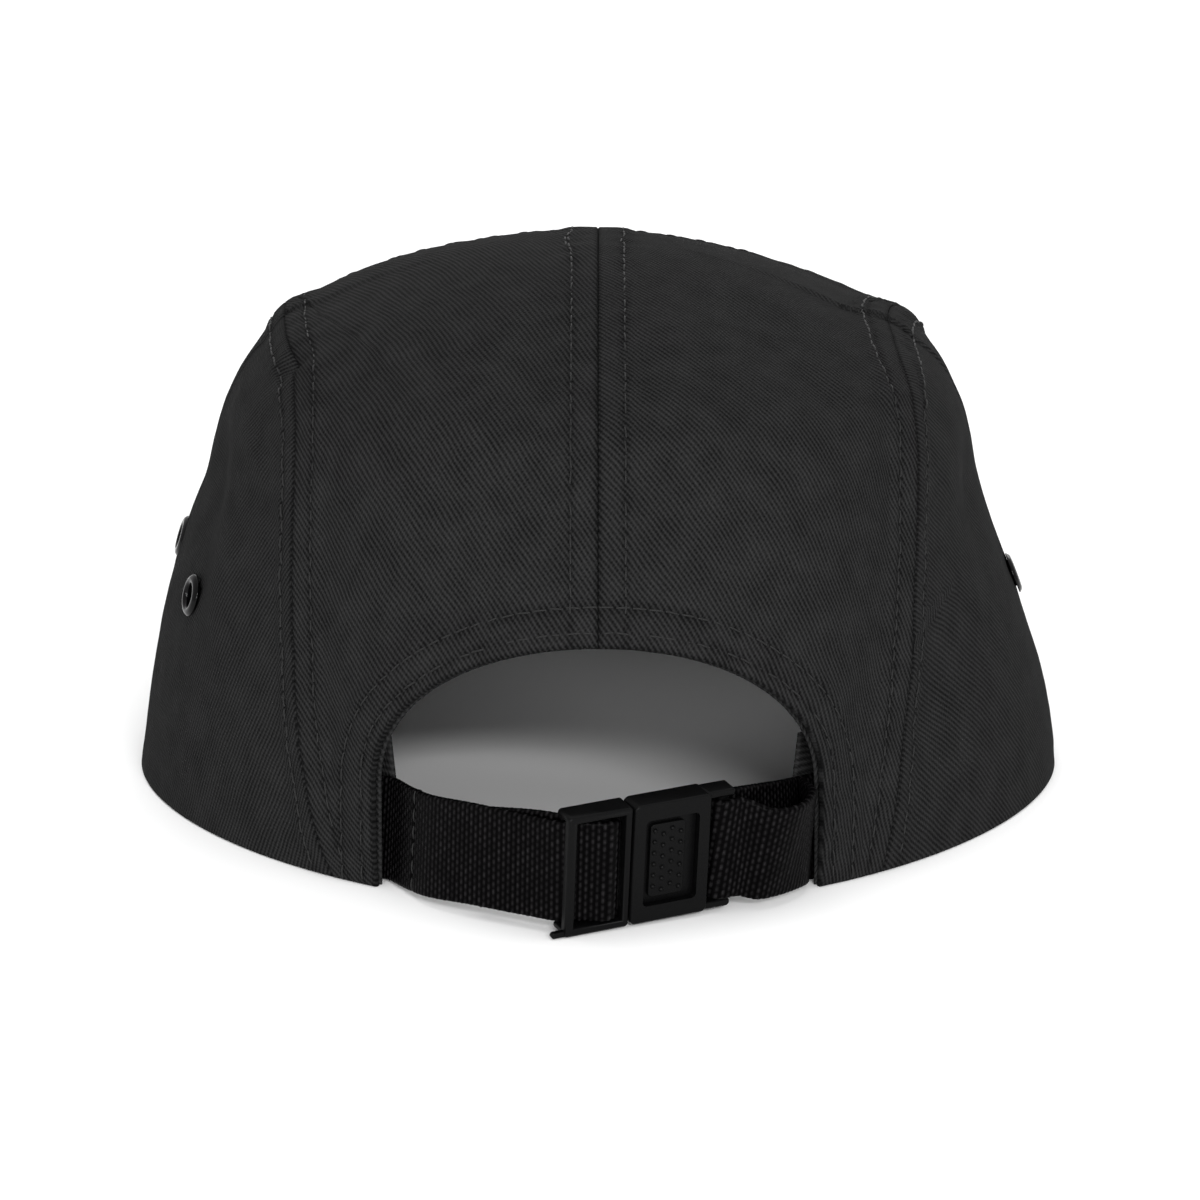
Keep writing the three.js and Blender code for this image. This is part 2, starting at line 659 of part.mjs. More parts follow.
const slotFoot = armHeight + layerGap; // height of the webbing's lower edge in the buckle
const buckleHeight = webbingWidth + 2 * slotFoot;
const wrapRadius = barRadius + seamGap + webbingThickness / 2;
const barSet = -(wrapRadius + 0.1); // the wrapped bars' distance behind the buckle's front
const slotRoom = 0.5; // beyond the webbing's wrap, in the plug half's slot
const innerBarAt = -(outerBar + 2 * wrapRadius + webbingThickness + slotRoom);
const wrapReach = wrapRadius + webbingThickness / 2 + seamGap;
const plugEnd = innerBarAt - wrapReach - shoulderWall;
const socketStart = plugEnd - seamGap;
const socketEnd = socketStart - socketLength;
const endBarAt = socketEnd - wrapReach;

// Points of the webbing's middle around a bar, from its front round to its back; toward is 1 or -1 in x
function wrapPoints(barAt, toward, edge) {
  return Array.from({ length: 7 }, (_, i) => {
    const turn = (90 - 30 * i) * degrees;
    const x = barAt + toward * wrapRadius * Math.cos(turn);
    return onBuckle(x, barSet + wrapRadius * Math.sin(turn), edge);
  });
}

// Points of webbing sewn inside the crown beside the arch, from its hidden end to the arch's side
function tuckPoints(side, depth, height) {
  return [1, 0.66, 0.33, 0].map((share) => {
    const turn = archFoot - (share * strapTuck) / rimRadius;
    const [across, along] = placeAtHeight(turn, height);
    return underCrown([side * across, along], depth);
  });
}

// The left strap: out of the crown, behind the outer bar, forward over the inner bar, and back as a tail
function leftStrapGeometry() {
  const middle = strapDepth + webbingThickness / 2;
  const behindBar = -(outerBar + seamGap + webbingThickness / 2);
  const edgePoints = (share) => {
    const height = webbingLift + share * webbingWidth;
    const local = slotFoot + share * webbingWidth;
    const tuck = tuckPoints(1, middle, height);
    const entry = onBuckle(-outerBar / 2, behindBar, local);
    const way = entry.clone().sub(tuck.at(-1)).setZ(0).normalize();
    const outwards = new THREE.Vector3(way.y, -way.x, 0);
    const bow = leftStrapBow.map((row) => {
      const point = tuck.at(-1).clone().lerp(entry, row.along).addScaledVector(outwards, row.out);
      return point.setZ(mix(tuck.at(-1).z, entry.z, THREE.MathUtils.smoothstep(row.along, 0, 0.6)));
    });
    const past = onBuckle(-outerBar - tailClear, behindBar, local);
    const through = onBuckle(mix(-outerBar, innerBarAt, 0.6), barSet / 2, local);
    const wrap = wrapPoints(innerBarAt, -1, local);
    const behindStrap = behindBar - layerStep;
    const back = onBuckle(mix(innerBarAt, -outerBar, 0.5), behindStrap, local);
    const tail = [bow[3], bow[2]].map((point) => {
      const behind = point.clone().addScaledVector(outwards, -(layerStep + tailClear));
      return behind.setZ(behind.z + tailRise);
    });
    const exit = onBuckle(-outerBar - tailClear, behindStrap - tailClear, local + tailRise / 2);
    return [...tuck, ...bow, entry, past, through, ...wrap, back, exit, ...tail];
  };
  return ribbonGeometry(edgePoints(0), edgePoints(1), strapSteps);
}

// The right strap: a loop of two layers from the crown round the socket's end bar
function rightStrapGeometry() {
  const middle = strapDepth + webbingThickness / 2;
  const edgePoints = (share) => {
    const height = webbingLift + share * webbingWidth;
    const local = slotFoot + share * webbingWidth;
    const outerTuck = tuckPoints(-1, middle, height);
    const innerTuck = tuckPoints(-1, middle + layerStep, height).reverse();
    const front = onBuckle(endBarAt - loopStraight, barSet + wrapRadius, local);
    const back = onBuckle(endBarAt - loopStraight, barSet - wrapRadius, local);
    const way = front.clone().sub(outerTuck.at(-1)).setZ(0).normalize();
    const outwards = new THREE.Vector3(-way.y, way.x, 0);
    const outer = rightStrapBow.map((row) => {
      const point = outerTuck.at(-1).clone().lerp(front, row.along);
      return point.addScaledVector(outwards, row.out + share * row.lean * loopLean);
    });
    const inner = innerLoopBow.map((row) => {
      const point = back.clone().lerp(innerTuck[0], row.along).addScaledVector(outwards, row.out);
      return point.setZ(point.z + loopRise);
    });
    const wrap = wrapPoints(endBarAt, 1, local);
    return [...outerTuck, ...outer, front, ...wrap, back, ...inner, ...innerTuck];
  };
  return ribbonGeometry(edgePoints(0), edgePoints(1), loopSteps);
}

const toSolid = (geometry) => {
  const plain = geometry.clone();
  plain.deleteAttribute("normal");
  plain.deleteAttribute("uv");
  const merged = mergeVertices(plain, 1e-4);
  const vertProperties = new Float32Array(merged.getAttribute("position").array);
  const triVerts = new Uint32Array(merged.index.array);
  return new wasm.Manifold(new wasm.Mesh({ numProp: 3, vertProperties, triVerts }));
};

const slimmest = 0.01; // facets thinner than this are merged away after a cut or a join
const toGeometry = (solid) => {
  const mesh = solid.simplify(slimmest).getMesh();
  const geometry = new THREE.BufferGeometry();
  geometry.setAttribute("position", new THREE.Float32BufferAttribute(mesh.vertProperties, 3));
  geometry.setIndex(Array.from(mesh.triVerts));
  geometry.computeVertexNormals();
  return geometry;
};

// A block with rounded corners as seen from in front and, where asked for, softened edges
function block(x, y, z, corner = buckleCorner, soft = softEdge) {
  const [x0, x1] = [x[0] + soft, x[1] - soft];
  const [z0, z1] = [z[0] + soft, z[1] - soft];
  const r = Math.max(0.05, Math.min(corner - soft, (x1 - x0) / 2.1, (z1 - z0) / 2.1));
  const shape = new THREE.Shape();
  shape.moveTo(x0 + r, z0);
  shape.lineTo(x1 - r, z0);
  shape.absarc(x1 - r, z0 + r, r, -Math.PI / 2, 0);
  shape.lineTo(x1, z1 - r);
  shape.absarc(x1 - r, z1 - r, r, 0, Math.PI / 2);
  shape.lineTo(x0 + r, z1);
  shape.absarc(x0 + r, z1 - r, r, Math.PI / 2, Math.PI);
  shape.lineTo(x0, z0 + r);
  shape.absarc(x0 + r, z0 + r, r, Math.PI, Math.PI * 1.5);
  const bevel = { bevelEnabled: soft > 0, bevelThickness: soft, bevelSize: soft, bevelSegments: 1 };
  const depth = y[1] - y[0] - 2 * soft;
  const geometry = new THREE.ExtrudeGeometry(shape, { depth, curveSegments: 3, ...bevel });
  geometry.rotateX(Math.PI / 2);
  geometry.translate(0, y[1] - soft, 0);
  return toSolid(geometry);
}

// A round bar that stands along z
function roundBar(x, y, radius, z) {
  const geometry = new THREE.CylinderGeometry(radius, radius, z[1] - z[0], 16);
  geometry.rotateX(Math.PI / 2);
  geometry.translate(x, y, (z[0] + z[1]) / 2);
  return toSolid(geometry);
}

// The plug half: an open frame with two bars, and a tongue with a bumped pad that lies in the socket
function plugGeometry() {
  const depth = [-buckleDepth, 0];
  const height = [0, buckleHeight];
  const middle = buckleHeight / 2;
  const frame = [plugEnd, 0];
  const tongueFace = -(socketWall + tongueClearance);
  const tongueEnd = socketEnd + socketWall + tongueClearance;
  const tongueHalf = buckleHeight / 2 - socketWall - tongueClearance;
  const windowMiddle = (socketStart + socketEnd) / 2;
  const pad = [-1, 1].map((end) => windowMiddle + padShift + (end * padLength) / 2);
  const foot = [-(1 - footInset) * outerBar, -footInset * outerBar];
  const tongue = [middle - tongueHalf, middle + tongueHalf];
  let solid = block(frame, depth, [0, armHeight])
    .add(block(frame, depth, [buckleHeight - armHeight, buckleHeight]))
    .add(block([-outerBar, 0], [-outerBar, 0], height))
    .add(block([plugEnd, plugEnd + shoulderWall], depth, height))
    .add(block([-outerBar / 2, footLength], foot, [footLift, footHeight], buckleCorner, fineEdge))
    .add(roundBar(innerBarAt, barSet, barRadius, [armHeight / 2, buckleHeight - armHeight / 2]))
    .add(
      block(
        [tongueEnd, plugEnd + shoulderWall / 2],
        [tongueFace - tongueThickness, tongueFace],
        tongue,
        buckleCorner,
        fineEdge,
      ),
    )
    .add(
      block(
        pad,
        [tongueFace - tongueThickness / 2, -padSet],
        [middle - padHeight / 2, middle + padHeight / 2],
        windowCorner,
        fineEdge,
      ),
    );
  for (let row = 0; row < bumpRows; row++) {
    for (let column = 0; column < bumpColumns; column++) {
      const across = (column + 0.5) / bumpColumns;
      const up = (row + 0.5 + (column % 2 ? bumpStagger : -bumpStagger)) / bumpRows;
      const bump = new THREE.SphereGeometry(bumpRadius, 6, 4);
      const height = middle + (up - 0.5) * (padHeight - 2 * bumpMargin);
      bump.translate(mix(pad[0], pad[1], across), -padSet, height);
      solid = solid.add(toSolid(bump));
    }
  }
  return toGeometry(solid);
}

// The socket half: a hollow shell, open towards the plug, with a window in front and an end bar
function socketGeometry() {
  const middle = buckleHeight / 2;
  const windowMiddle = (socketStart + socketEnd) / 2;
  const windowX = [windowMiddle - windowLength / 2, windowMiddle + windowLength / 2];
  const windowZ = [middle - windowHeight / 2, middle + windowHeight / 2];
  const armX = [endBarAt - barRadius - endBarWall, socketEnd + joinDepth];
  const armY = [-buckleDepth + armSet, -armSet];
  const cavity = block(
    [socketEnd + socketWall, socketStart + joinDepth],
    [-buckleDepth + socketWall, -socketWall],
    [socketWall, buckleHeight - socketWall],
    softEdge,
    fineEdge,
  );
  const solid = block([socketEnd, socketStart], [-buckleDepth, 0], [0, buckleHeight], shellCorner)
    .add(block(armX, armY, [0, armHeight]))
    .add(block(armX, armY, [buckleHeight - armHeight, buckleHeight]))
    .add(roundBar(endBarAt, barSet, barRadius, [armHeight / 2, buckleHeight - armHeight / 2]))
    .subtract(cavity)
    .subtract(block(windowX, [-socketWall - joinDepth / 2, joinDepth], windowZ, windowCorner, 0));
  return toGeometry(solid);
}

// How far a solid reaches out of and into the cloth's face under a flange, in the eyelet's own axes
function reachUnderFlange(solid, eyelet) {
  eyelet.updateMatrix();
  const around = new THREE.CylinderGeometry(eyeletFlange / 2, eyeletFlange / 2, crownHalfWidth / 2, 12);
  const under = solid.transform(eyelet.matrix.clone().invert().elements).intersect(toSolid(around));
  const bounds = under.boundingBox();
  return { outer: bounds.max[1], inner: bounds.min[1] };
}

// An eyelet around its own y axis, whose 0 is the cloth's outer face: a barrel, a domed flange and a washer
function eyeletGeometry(reach) {
  const hole = eyeletHole / 2;
  const barrel = hole + eyeletWall;
  const flange = eyeletFlange / 2;
  const lower = reach.outer + seamGap;
  const upper = lower + eyeletProud;
  const inside = reach.inner - seamGap;
  const washer = inside - eyeletWall;
  const washerReach = flange - washerSet;
  const dome = eyeletDome.map((row) => [mix(hole, flange, row.across), mix(lower, upper, row.up)]);
  const profile = [
    [hole, washer],
    [washerReach, washer],
    [washerReach, inside],
    [barrel, inside],
    [barrel, lower],
    [flange, lower],
    [flange, lower + eyeletFlangeEdge],
    ...dome,
    [hole, lower],
    [hole, washer],
  ].map(([x, y]) => new THREE.Vector2(x, y));
  return new THREE.LatheGeometry(profile, 12);
}

const cap = new THREE.Group();
const twill = { color: 0x2b2b2b, roughness: 0.92, metalness: 0 };
const webbingLook = { color: 0x121112, roughness: 0.8, metalness: 0 };
const mouldedLook = { color: 0x161616, roughness: 0.5, metalness: 0 };
const enamelLook = { color: 0x0b0b0c, roughness: 0.2, metalness: 0.9 };

function addMesh(name, geometry, look, parent = cap) {
  const mesh = new THREE.Mesh(geometry, new THREE.MeshStandardMaterial(look));
  mesh.name = name;
  parent.add(mesh);
  return mesh;
}

// The place on one side of the crown that far behind its middle and that high above the rim
function placeOnSide(side, behind, height) {
  let [low, high] = [-60 * degrees, 60 * degrees];
  for (let i = 0; i < 40; i++) {
    const turn = (low + high) / 2;
    if (smoothCrown(placeAtHeight(turn, height)).y < behind) low = turn;
    else high = turn;
  }
  const [across, along] = placeAtHeight(low, height);
  return [side * across, along];
}

const sides = { left: 1, right: -1 };
for (const [sideName, side] of Object.entries(sides)) {
  const onThisSide = (places) => (side > 0 ? places : mirrored(places));
  const columns = seamSteps - 2 * sideSteps;
  const cloth = clothLayer(onThisSide(sidePanelPlaces(sideName)), 0, clothWall, sideSteps, columns);
  let panel = toSolid(cloth);
  for (const row of eyelets.filter((eyelet) => eyelet.side === sideName)) {
    const place = placeOnSide(side, row.behind, row.height);
    const point = underCrown(place, 0);
    const outwards = point.clone().sub(underCrown(place, 1));
    const eyelet = addMesh(`eyelet_${sideName}_${row.end}`, new THREE.BufferGeometry(), enamelLook);
    eyelet.position.copy(point);
    eyelet.quaternion.setFromUnitVectors(new THREE.Vector3(0, 1, 0), outwards);
    eyelet.geometry = eyeletGeometry(reachUnderFlange(panel, eyelet));
    const radius = eyeletHole / 2 + eyeletWall + seamGap;
    const drill = new THREE.CylinderGeometry(radius, radius, 5 * clothWall, 12);
    drill.applyQuaternion(eyelet.quaternion).translate(...point.toArray());
    panel = panel.subtract(toSolid(drill));
  }
  addMesh(`side_panel_${sideName}`, toGeometry(panel), twill);
  const backPlaces = onThisSide(backPanelPlaces(sideName));
  const backPanel = clothLayer(backPlaces, 0, clothWall, backRows, backColumns);
  addMesh(`back_panel_${sideName}`, backPanel, twill);
}
addMesh("front_panel", clothLayer(frontPanelPlaces(), 0, clothWall, crossStep, topColumns), twill);
addMesh("arch_facing", clothLayer(facingPlaces, facingDepth, facingWall, 1, facingColumns), twill);
addMesh("sweatband", sweatbandGeometry(), twill);
addMesh("visor", visorGeometry(), twill);
addMesh("strap_left", leftStrapGeometry(), webbingLook);
addMesh("strap_right", rightStrapGeometry(), webbingLook);
cap.add(buckleFrame);
addMesh("buckle_plug", plugGeometry(), mouldedLook, buckleFrame);
addMesh("buckle_socket", socketGeometry(), mouldedLook, buckleFrame);

// The origin lies in the middle of the cap's footprint, on the plane that it stands on
const bounds = new THREE.Box3().setFromObject(cap, true);
const centre = bounds.getCenter(new THREE.Vector3());
cap.position.set(-centre.x, -centre.y, -bounds.min.z);

export default cap;
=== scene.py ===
# %% [markdown]
# # A five panel cap in black cotton twill
# The cap is sewn from five pieces of cloth, closed at the back by a webbing strap and a
# buckle, and seen from behind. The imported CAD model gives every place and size; this
# lesson gives the cloth its seams, stitches, weave and folds, and the hard pieces their finish.

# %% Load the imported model
import math
import bpy
import bmesh
import numpy as np
from mathutils import Matrix, Vector, kdtree


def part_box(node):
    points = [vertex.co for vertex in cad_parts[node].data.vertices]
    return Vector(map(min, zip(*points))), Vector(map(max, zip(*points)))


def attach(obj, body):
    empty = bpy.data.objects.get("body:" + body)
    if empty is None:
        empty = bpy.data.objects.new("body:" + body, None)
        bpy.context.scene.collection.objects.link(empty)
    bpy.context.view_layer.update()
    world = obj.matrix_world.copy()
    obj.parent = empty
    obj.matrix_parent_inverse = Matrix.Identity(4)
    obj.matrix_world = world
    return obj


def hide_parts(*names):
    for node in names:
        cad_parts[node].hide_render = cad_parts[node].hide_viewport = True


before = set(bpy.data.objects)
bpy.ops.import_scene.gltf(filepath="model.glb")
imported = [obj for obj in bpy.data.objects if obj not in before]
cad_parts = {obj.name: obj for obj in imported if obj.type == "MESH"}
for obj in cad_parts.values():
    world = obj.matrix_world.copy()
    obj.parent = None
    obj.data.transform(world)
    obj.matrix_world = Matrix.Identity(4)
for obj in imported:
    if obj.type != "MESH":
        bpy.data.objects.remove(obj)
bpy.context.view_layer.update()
print("CAD nodes:", sorted(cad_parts))

# %% [markdown]
# ## Units and place
# The tables below are in millimetres around the middle of the crown, as the pattern was
# drawn. Blender works in metres around the middle of the whole footprint, so every piece
# passes through one function on its way into a mesh. The rim and the visor's tip say how
# far apart the two origins are.

# %% From the crown's millimetres to the scene's metres
half_width, half_length, height = 92.0, 99.0, 105.5
rim_radius = (half_width + half_length) / 2  # turns lengths along the rim into angles
visor_reach, visor_half_width, visor_rise = 68.0, 86.0, 8.0
tip_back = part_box("visor")[0].y * 1000 + (1.01 * half_length + visor_reach)
floor_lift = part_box("side_panel_right")[0].z * 1000
shift = np.array([0.0, tip_back, floor_lift])
eye_height = math.radians(17)  # how steeply the photograph looks down
fine = 1.0


def metres(points):
    """Points in the crown's millimetres, in the scene's metres."""
    return (np.asarray(points, float) + shift) * 0.001


print("crown's middle lies", np.round(shift, 3), "mm from the scene's origin")

# %% [markdown]
# ## The shape of the crown
# An unworn cap has no simple shape. It is drawn as level rings, like the contour lines of
# a hill: `out` runs from the top (0) to the rim (1), the next four columns are how far the
# ring reaches to each side, then its height at the sides, back and front, and how square
# its outline is. A smooth curve through each column gives every ring between the rows.

# %% The rings of the crown
# out, left, right, back, front, side, rear, fore, squareness behind, squareness ahead
rings = np.array([
    (0, 0, 0, 0, 0, 1, 1, 1, 2, 2),
    (0.1, 0.203, 0.155, 0.142, 0.138, 0.991, 0.993, 0.998, 2.02, 2.02),
    (0.2, 0.378, 0.292, 0.28, 0.278, 0.958, 0.957, 0.972, 2.08, 2.08),
    (0.3, 0.522, 0.422, 0.418, 0.43, 0.913, 0.91, 0.935, 2.12, 2.16),
    (0.38, 0.618, 0.52, 0.53, 0.56, 0.871, 0.861, 0.893, 2.1, 2.22),
    (0.44, 0.68, 0.612, 0.617, 0.662, 0.833, 0.82, 0.859, 2.06, 2.25),
    (0.5, 0.748, 0.72, 0.695, 0.753, 0.779, 0.77, 0.811, 2.02, 2.25),
    (0.55, 0.8, 0.775, 0.752, 0.818, 0.702, 0.697, 0.74, 1.98, 2.24),
    (0.6, 0.824, 0.802, 0.798, 0.874, 0.627, 0.626, 0.663, 1.94, 2.22),
    (0.645, 0.843, 0.816, 0.835, 0.909, 0.556, 0.556, 0.589, 1.92, 2.2),
    (0.71, 0.888, 0.853, 0.875, 0.947, 0.456, 0.456, 0.484, 1.88, 2.16),
    (0.78, 0.924, 0.903, 0.908, 0.975, 0.352, 0.352, 0.371, 1.84, 2.12),
    (0.85, 0.955, 0.946, 0.937, 0.993, 0.237, 0.237, 0.251, 1.8, 2.08),
    (0.92, 0.98, 0.978, 0.957, 1.005, 0.123, 0.123, 0.133, 1.78, 2.04),
    (1, 1, 1, 0.97, 1.01, 0, 0, 0, 1.76, 2),
])
beyond_top = rings[1] * np.array([-1, -1, -1, -1, -1, 1, 1, 1, 1, 1])
rings = np.vstack([beyond_top, rings])


def smooth_table(x, y, at):
    """A smooth curve through the rows of a table, read at many places at once."""
    at = np.asarray(at, float)
    last = len(x) - 1
    i = np.clip(np.searchsorted(x, at, side="right") - 1, 0, last - 1)

    def slope(j):
        before, after = np.maximum(j - 1, 0), np.minimum(j + 1, last)
        return ((y[after] - y[before]).T / (x[after] - x[before]).T).T

    span = x[i + 1] - x[i]
    t = (at - x[i]) / span
    if np.ndim(y) > 1:
        span, t = span[:, None], t[:, None]
    rise, start, end = y[i + 1] - y[i], slope(i) * span, slope(i + 1) * span
    return y[i] + t * (start + t * ((start + end - 2 * rise) * t + 3 * rise - 2 * start - end))


def visor_lift(x):
    """How far the visor raises the front rim, at a place across the cap."""
    return visor_rise * np.maximum(0, 1 - (x / visor_half_width) ** 2)


def smooth_crown(place):
    """The crown's face before its seams and folds, for places on the flattened crown."""
    across, along = place[..., 0], place[..., 1]
    across = np.where(np.hypot(across, along) < 1e-7, 1e-7, across)
    out = np.hypot(across, along)
    c, s = across / out, along / out
    left, right, back, front, side, rear, fore, behind, ahead = (
        smooth_table(rings[:, 0], rings[:, k], out) for k in range(1, 10))
    half = np.where(c >= 0, left, right) * half_width
    long = np.where(s >= 0, back, front) * half_length
    square = np.where(s >= 0, behind, ahead)
    reach = (np.abs(c / half) ** square + np.abs(s / long) ** square) ** (-1 / square)
    level = (side + (np.where(s >= 0, rear, fore) - side) * s * s) * height
    lift = np.where(s < 0, visor_lift(reach * c) * out * out, 0)
    return np.stack([reach * c, reach * s, level + lift], -1)


def cloth_ways(place, h=0.004):
    """How the two directions of the flattened crown run on the cloth."""
    dx, dy = np.array([h, 0]), np.array([0, h])
    return ((smooth_crown(place + dx) - smooth_crown(place - dx)) / (2 * h),
            (smooth_crown(place + dy) - smooth_crown(place - dy)) / (2 * h))


def unit(v):
    """Directions made one long."""
    return v / np.maximum(np.linalg.norm(v, axis=-1, keepdims=True), 1e-12)


measure_steps = 60  # straight pieces that a curve over the crown is measured in
down_the_side = np.arange(measure_steps + 1) / measure_steps
profile = smooth_crown(np.column_stack([down_the_side, 0 * down_the_side]))
cloth_length = np.linalg.norm(np.diff(profile, axis=0), axis=1).sum()
print("cloth from the top to the rim: %.1f mm" % cloth_length)

# %% [markdown]
# ## Paths over the cloth
# Seams are drawn on the flattened crown and walked by their length. `beside` steps off a
# path along the cloth, by real millimetres, and is used for the panels' edges and for
# every row of stitches that keeps its distance from a seam.

# %% Curves, and steps beside them
def smooth_curve(points, per=40):
    """Dense points of a smooth curve through the given points."""
    points = np.asarray(points, float)
    p = np.vstack([2 * points[0] - points[1], points, 2 * points[-1] - points[-2]])
    t = np.linspace(0, 1, per, endpoint=False)[:, None]
    dense = []
    for i in range(1, len(p) - 2):
        a, b, c, d = p[i - 1:i + 3]
        ab, bc, cd = (max(np.linalg.norm(w - v) ** 0.5, 1e-4) for v, w in ((a, b), (b, c), (c, d)))
        leave = ((b - a) / ab - (c - a) / (ab + bc) + (c - b) / bc) * bc
        arrive = ((c - b) / bc - (d - b) / (bc + cd) + (d - c) / cd) * bc
        dense.append(b + t * (leave + t * ((3 * c - 3 * b - 2 * leave - arrive)
                                           + t * (2 * b - 2 * c + leave + arrive))))
    return np.vstack(dense + [points[-1:]])


def walk(dense):
    """The point at each share of a curve's length."""
    far = np.concatenate([[0], np.cumsum(np.linalg.norm(np.diff(dense, axis=0), axis=1))])

    def at(share):
        share = np.asarray(share, float) * far[-1]
        return np.stack([np.interp(share, far, dense[:, k]) for k in range(dense.shape[1])], -1)
    at.length = far[-1]
    return at


def beside(place, way, distance):
    """Places moved along the cloth to the left of their direction, by millimetres."""
    e, f = cloth_ways(place)
    xx, xy, yy = (e * e).sum(-1), (e * f).sum(-1), (f * f).sum(-1)
    a, b = way[..., 0], way[..., 1]
    u, v = -(xy * a + yy * b), xx * a + xy * b
    size = np.sqrt(xx * u ** 2 + 2 * xy * u * v + yy * v ** 2)
    return place + np.stack([u, v], -1) * (np.asarray(distance) / size)[..., None]


def turn_of(place):
    """The direction of a place from the crown's middle, as an angle from the wearer's left."""
    return np.arctan2(place[..., 1], place[..., 0])


def rim_at(turn):
    return np.stack([np.cos(turn), np.sin(turn)], -1)


def shifted(path, distance):
    """A path moved sideways along the cloth."""
    def at(share):
        share = np.clip(np.asarray(share, float), 0, 1)
        h = 0.002
        way = path(np.minimum(share + h, 1)) - path(np.maximum(share - h, 0))
        return beside(path(share), unit(way), np.full(share.shape, float(distance)))
    return at

# %% [markdown]
# ## The seams
# Each side seam climbs from the visor's end, bends over the shoulder and drops to the rim
# behind. The left and right halves of a sewn cap are never quite alike, so they have
# columns of their own.

# %% The two side seams, from the visor to the back rim
# distance to the left, distance to the right, distance to the back
side_seam_table = np.array([
    (0.8, 0.8, -0.7), (0.755, 0.755, -0.656), (0.66, 0.66, -0.57), (0.565, 0.565, -0.45),
    (0.488, 0.49, -0.31), (0.436, 0.444, -0.18), (0.422, 0.44, -0.05), (0.414, 0.437, 0.08),
    (0.405, 0.432, 0.2), (0.405, 0.438, 0.28), (0.411, 0.461, 0.35), (0.452, 0.499, 0.45),
    (0.492, 0.527, 0.56), (0.526, 0.546, 0.66), (0.537, 0.566, 0.75), (0.542, 0.589, 0.82),
    (0.54, 0.605, 0.88)])


def side_seam(column, distance):
    """A side seam on the positive side, moved sideways and cut off at the rim."""
    path = shifted(walk(smooth_curve(side_seam_table[:, [column, 2]])), distance)
    share = np.linspace(0, 1, 4001)  # close enough to find where the seam meets the rim
    inside = np.hypot(*path(share).T) < 1
    start, end = share[np.argmax(inside)], share[len(share) - 1 - np.argmax(inside[::-1])]

    def at(t):
        t = np.asarray(t, float)
        place = path(start + (end - start) * t)
        on_rim = ((t <= 0) | (t >= 1))[..., None]
        return np.where(on_rim, rim_at(turn_of(place)), place)
    return at


columns = {"left": 0, "right": 1}
sign = {"left": 1.0, "right": -1.0}
seam = {name: side_seam(k, 0) for name, k in columns.items()}
seam_samples = {name: path(np.linspace(0, 1, measure_steps + 1)) for name, path in seam.items()}
top_share = 11 / 36  # of a side seam, from the visor to the seam over the top
below_share = 25 / 36  # of a side seam, from there to the rim behind
rear_share = 25 / 36  # of a side seam, from the visor to where a side panel's rear edge starts


def mirror(place, name):
    """Places of the positive side, carried over to the named side."""
    return place * np.array([sign[name], 1.0])


print("the side seams reach the rim at",
      {name: round(math.degrees(turn_of(path(1.0)))) for name, path in seam.items()}, "degrees")

# %% [markdown]
# ## The back arch
# The opening above the strap is half an ellipse on two short straight sides, drawn in the
# plane that you see from behind and then laid onto the crown.

# %% The arch's edge
arch_half_width, arch_spring, arch_rise = 41.0, 20.0, 27.0  # spring: height of its straight sides


def search(low, high, test):
    """The value where a test stops holding, for many places at once."""
    for _ in range(40):
        middle = (low + high) / 2
        holds = test(middle)
        low, high = np.where(holds, middle, low), np.where(holds, high, middle)
    return low


def place_at_height(turn, level):
    """The place above the rim by that height, in that direction."""
    turn = np.asarray(turn, float)
    rim = smooth_crown(rim_at(turn))[..., 2]
    full = np.ones(np.broadcast(turn, level).shape)
    out = search(0.02 * full, 1.05 * full,
                 lambda o: smooth_crown(rim_at(turn) * o[..., None])[..., 2] - rim > level)
    return rim_at(turn) * out[..., None]


def place_on_back(x, level):
    """The place that a straight look from behind finds at x and that height above the rim."""
    x, level = np.asarray(x, float), np.asarray(level, float)
    turn = search(np.full(x.shape, math.radians(20)), np.full(x.shape, math.radians(90)),
                  lambda t: smooth_crown(place_at_height(t, level))[..., 0] > x)
    return place_at_height(turn, level)


quarter = np.linspace(0, math.pi / 2, 17)
straight = 1 - np.arange(1, 7) / 6  # down the straight side, as shares of its height
arch_places = place_on_back(
    np.concatenate([arch_half_width * np.sin(quarter), np.full(len(straight), arch_half_width)]),
    np.concatenate([arch_spring + arch_rise * np.cos(quarter), arch_spring * straight]))
arch_places[-1] = rim_at(turn_of(arch_places[-1]))
arch_path = walk(smooth_curve(arch_places))
arch_foot = float(turn_of(arch_places[-1]))
print("arch foot at %.1f degrees" % math.degrees(arch_foot))

# %% [markdown]
# ## Ridges and folds
# A seam holds four layers of cloth and stands up as a low ridge. The folds are the large,
# soft dents of a cap that was packed flat. Both fade out at the rim, where the sweatband
# holds the cloth in shape.

# %% The crown's face with its ridges and folds
seam_ridge, seam_ridge_spread, fold_depth, rim_fade = 1.3, 6.0, 5.0, 0.08
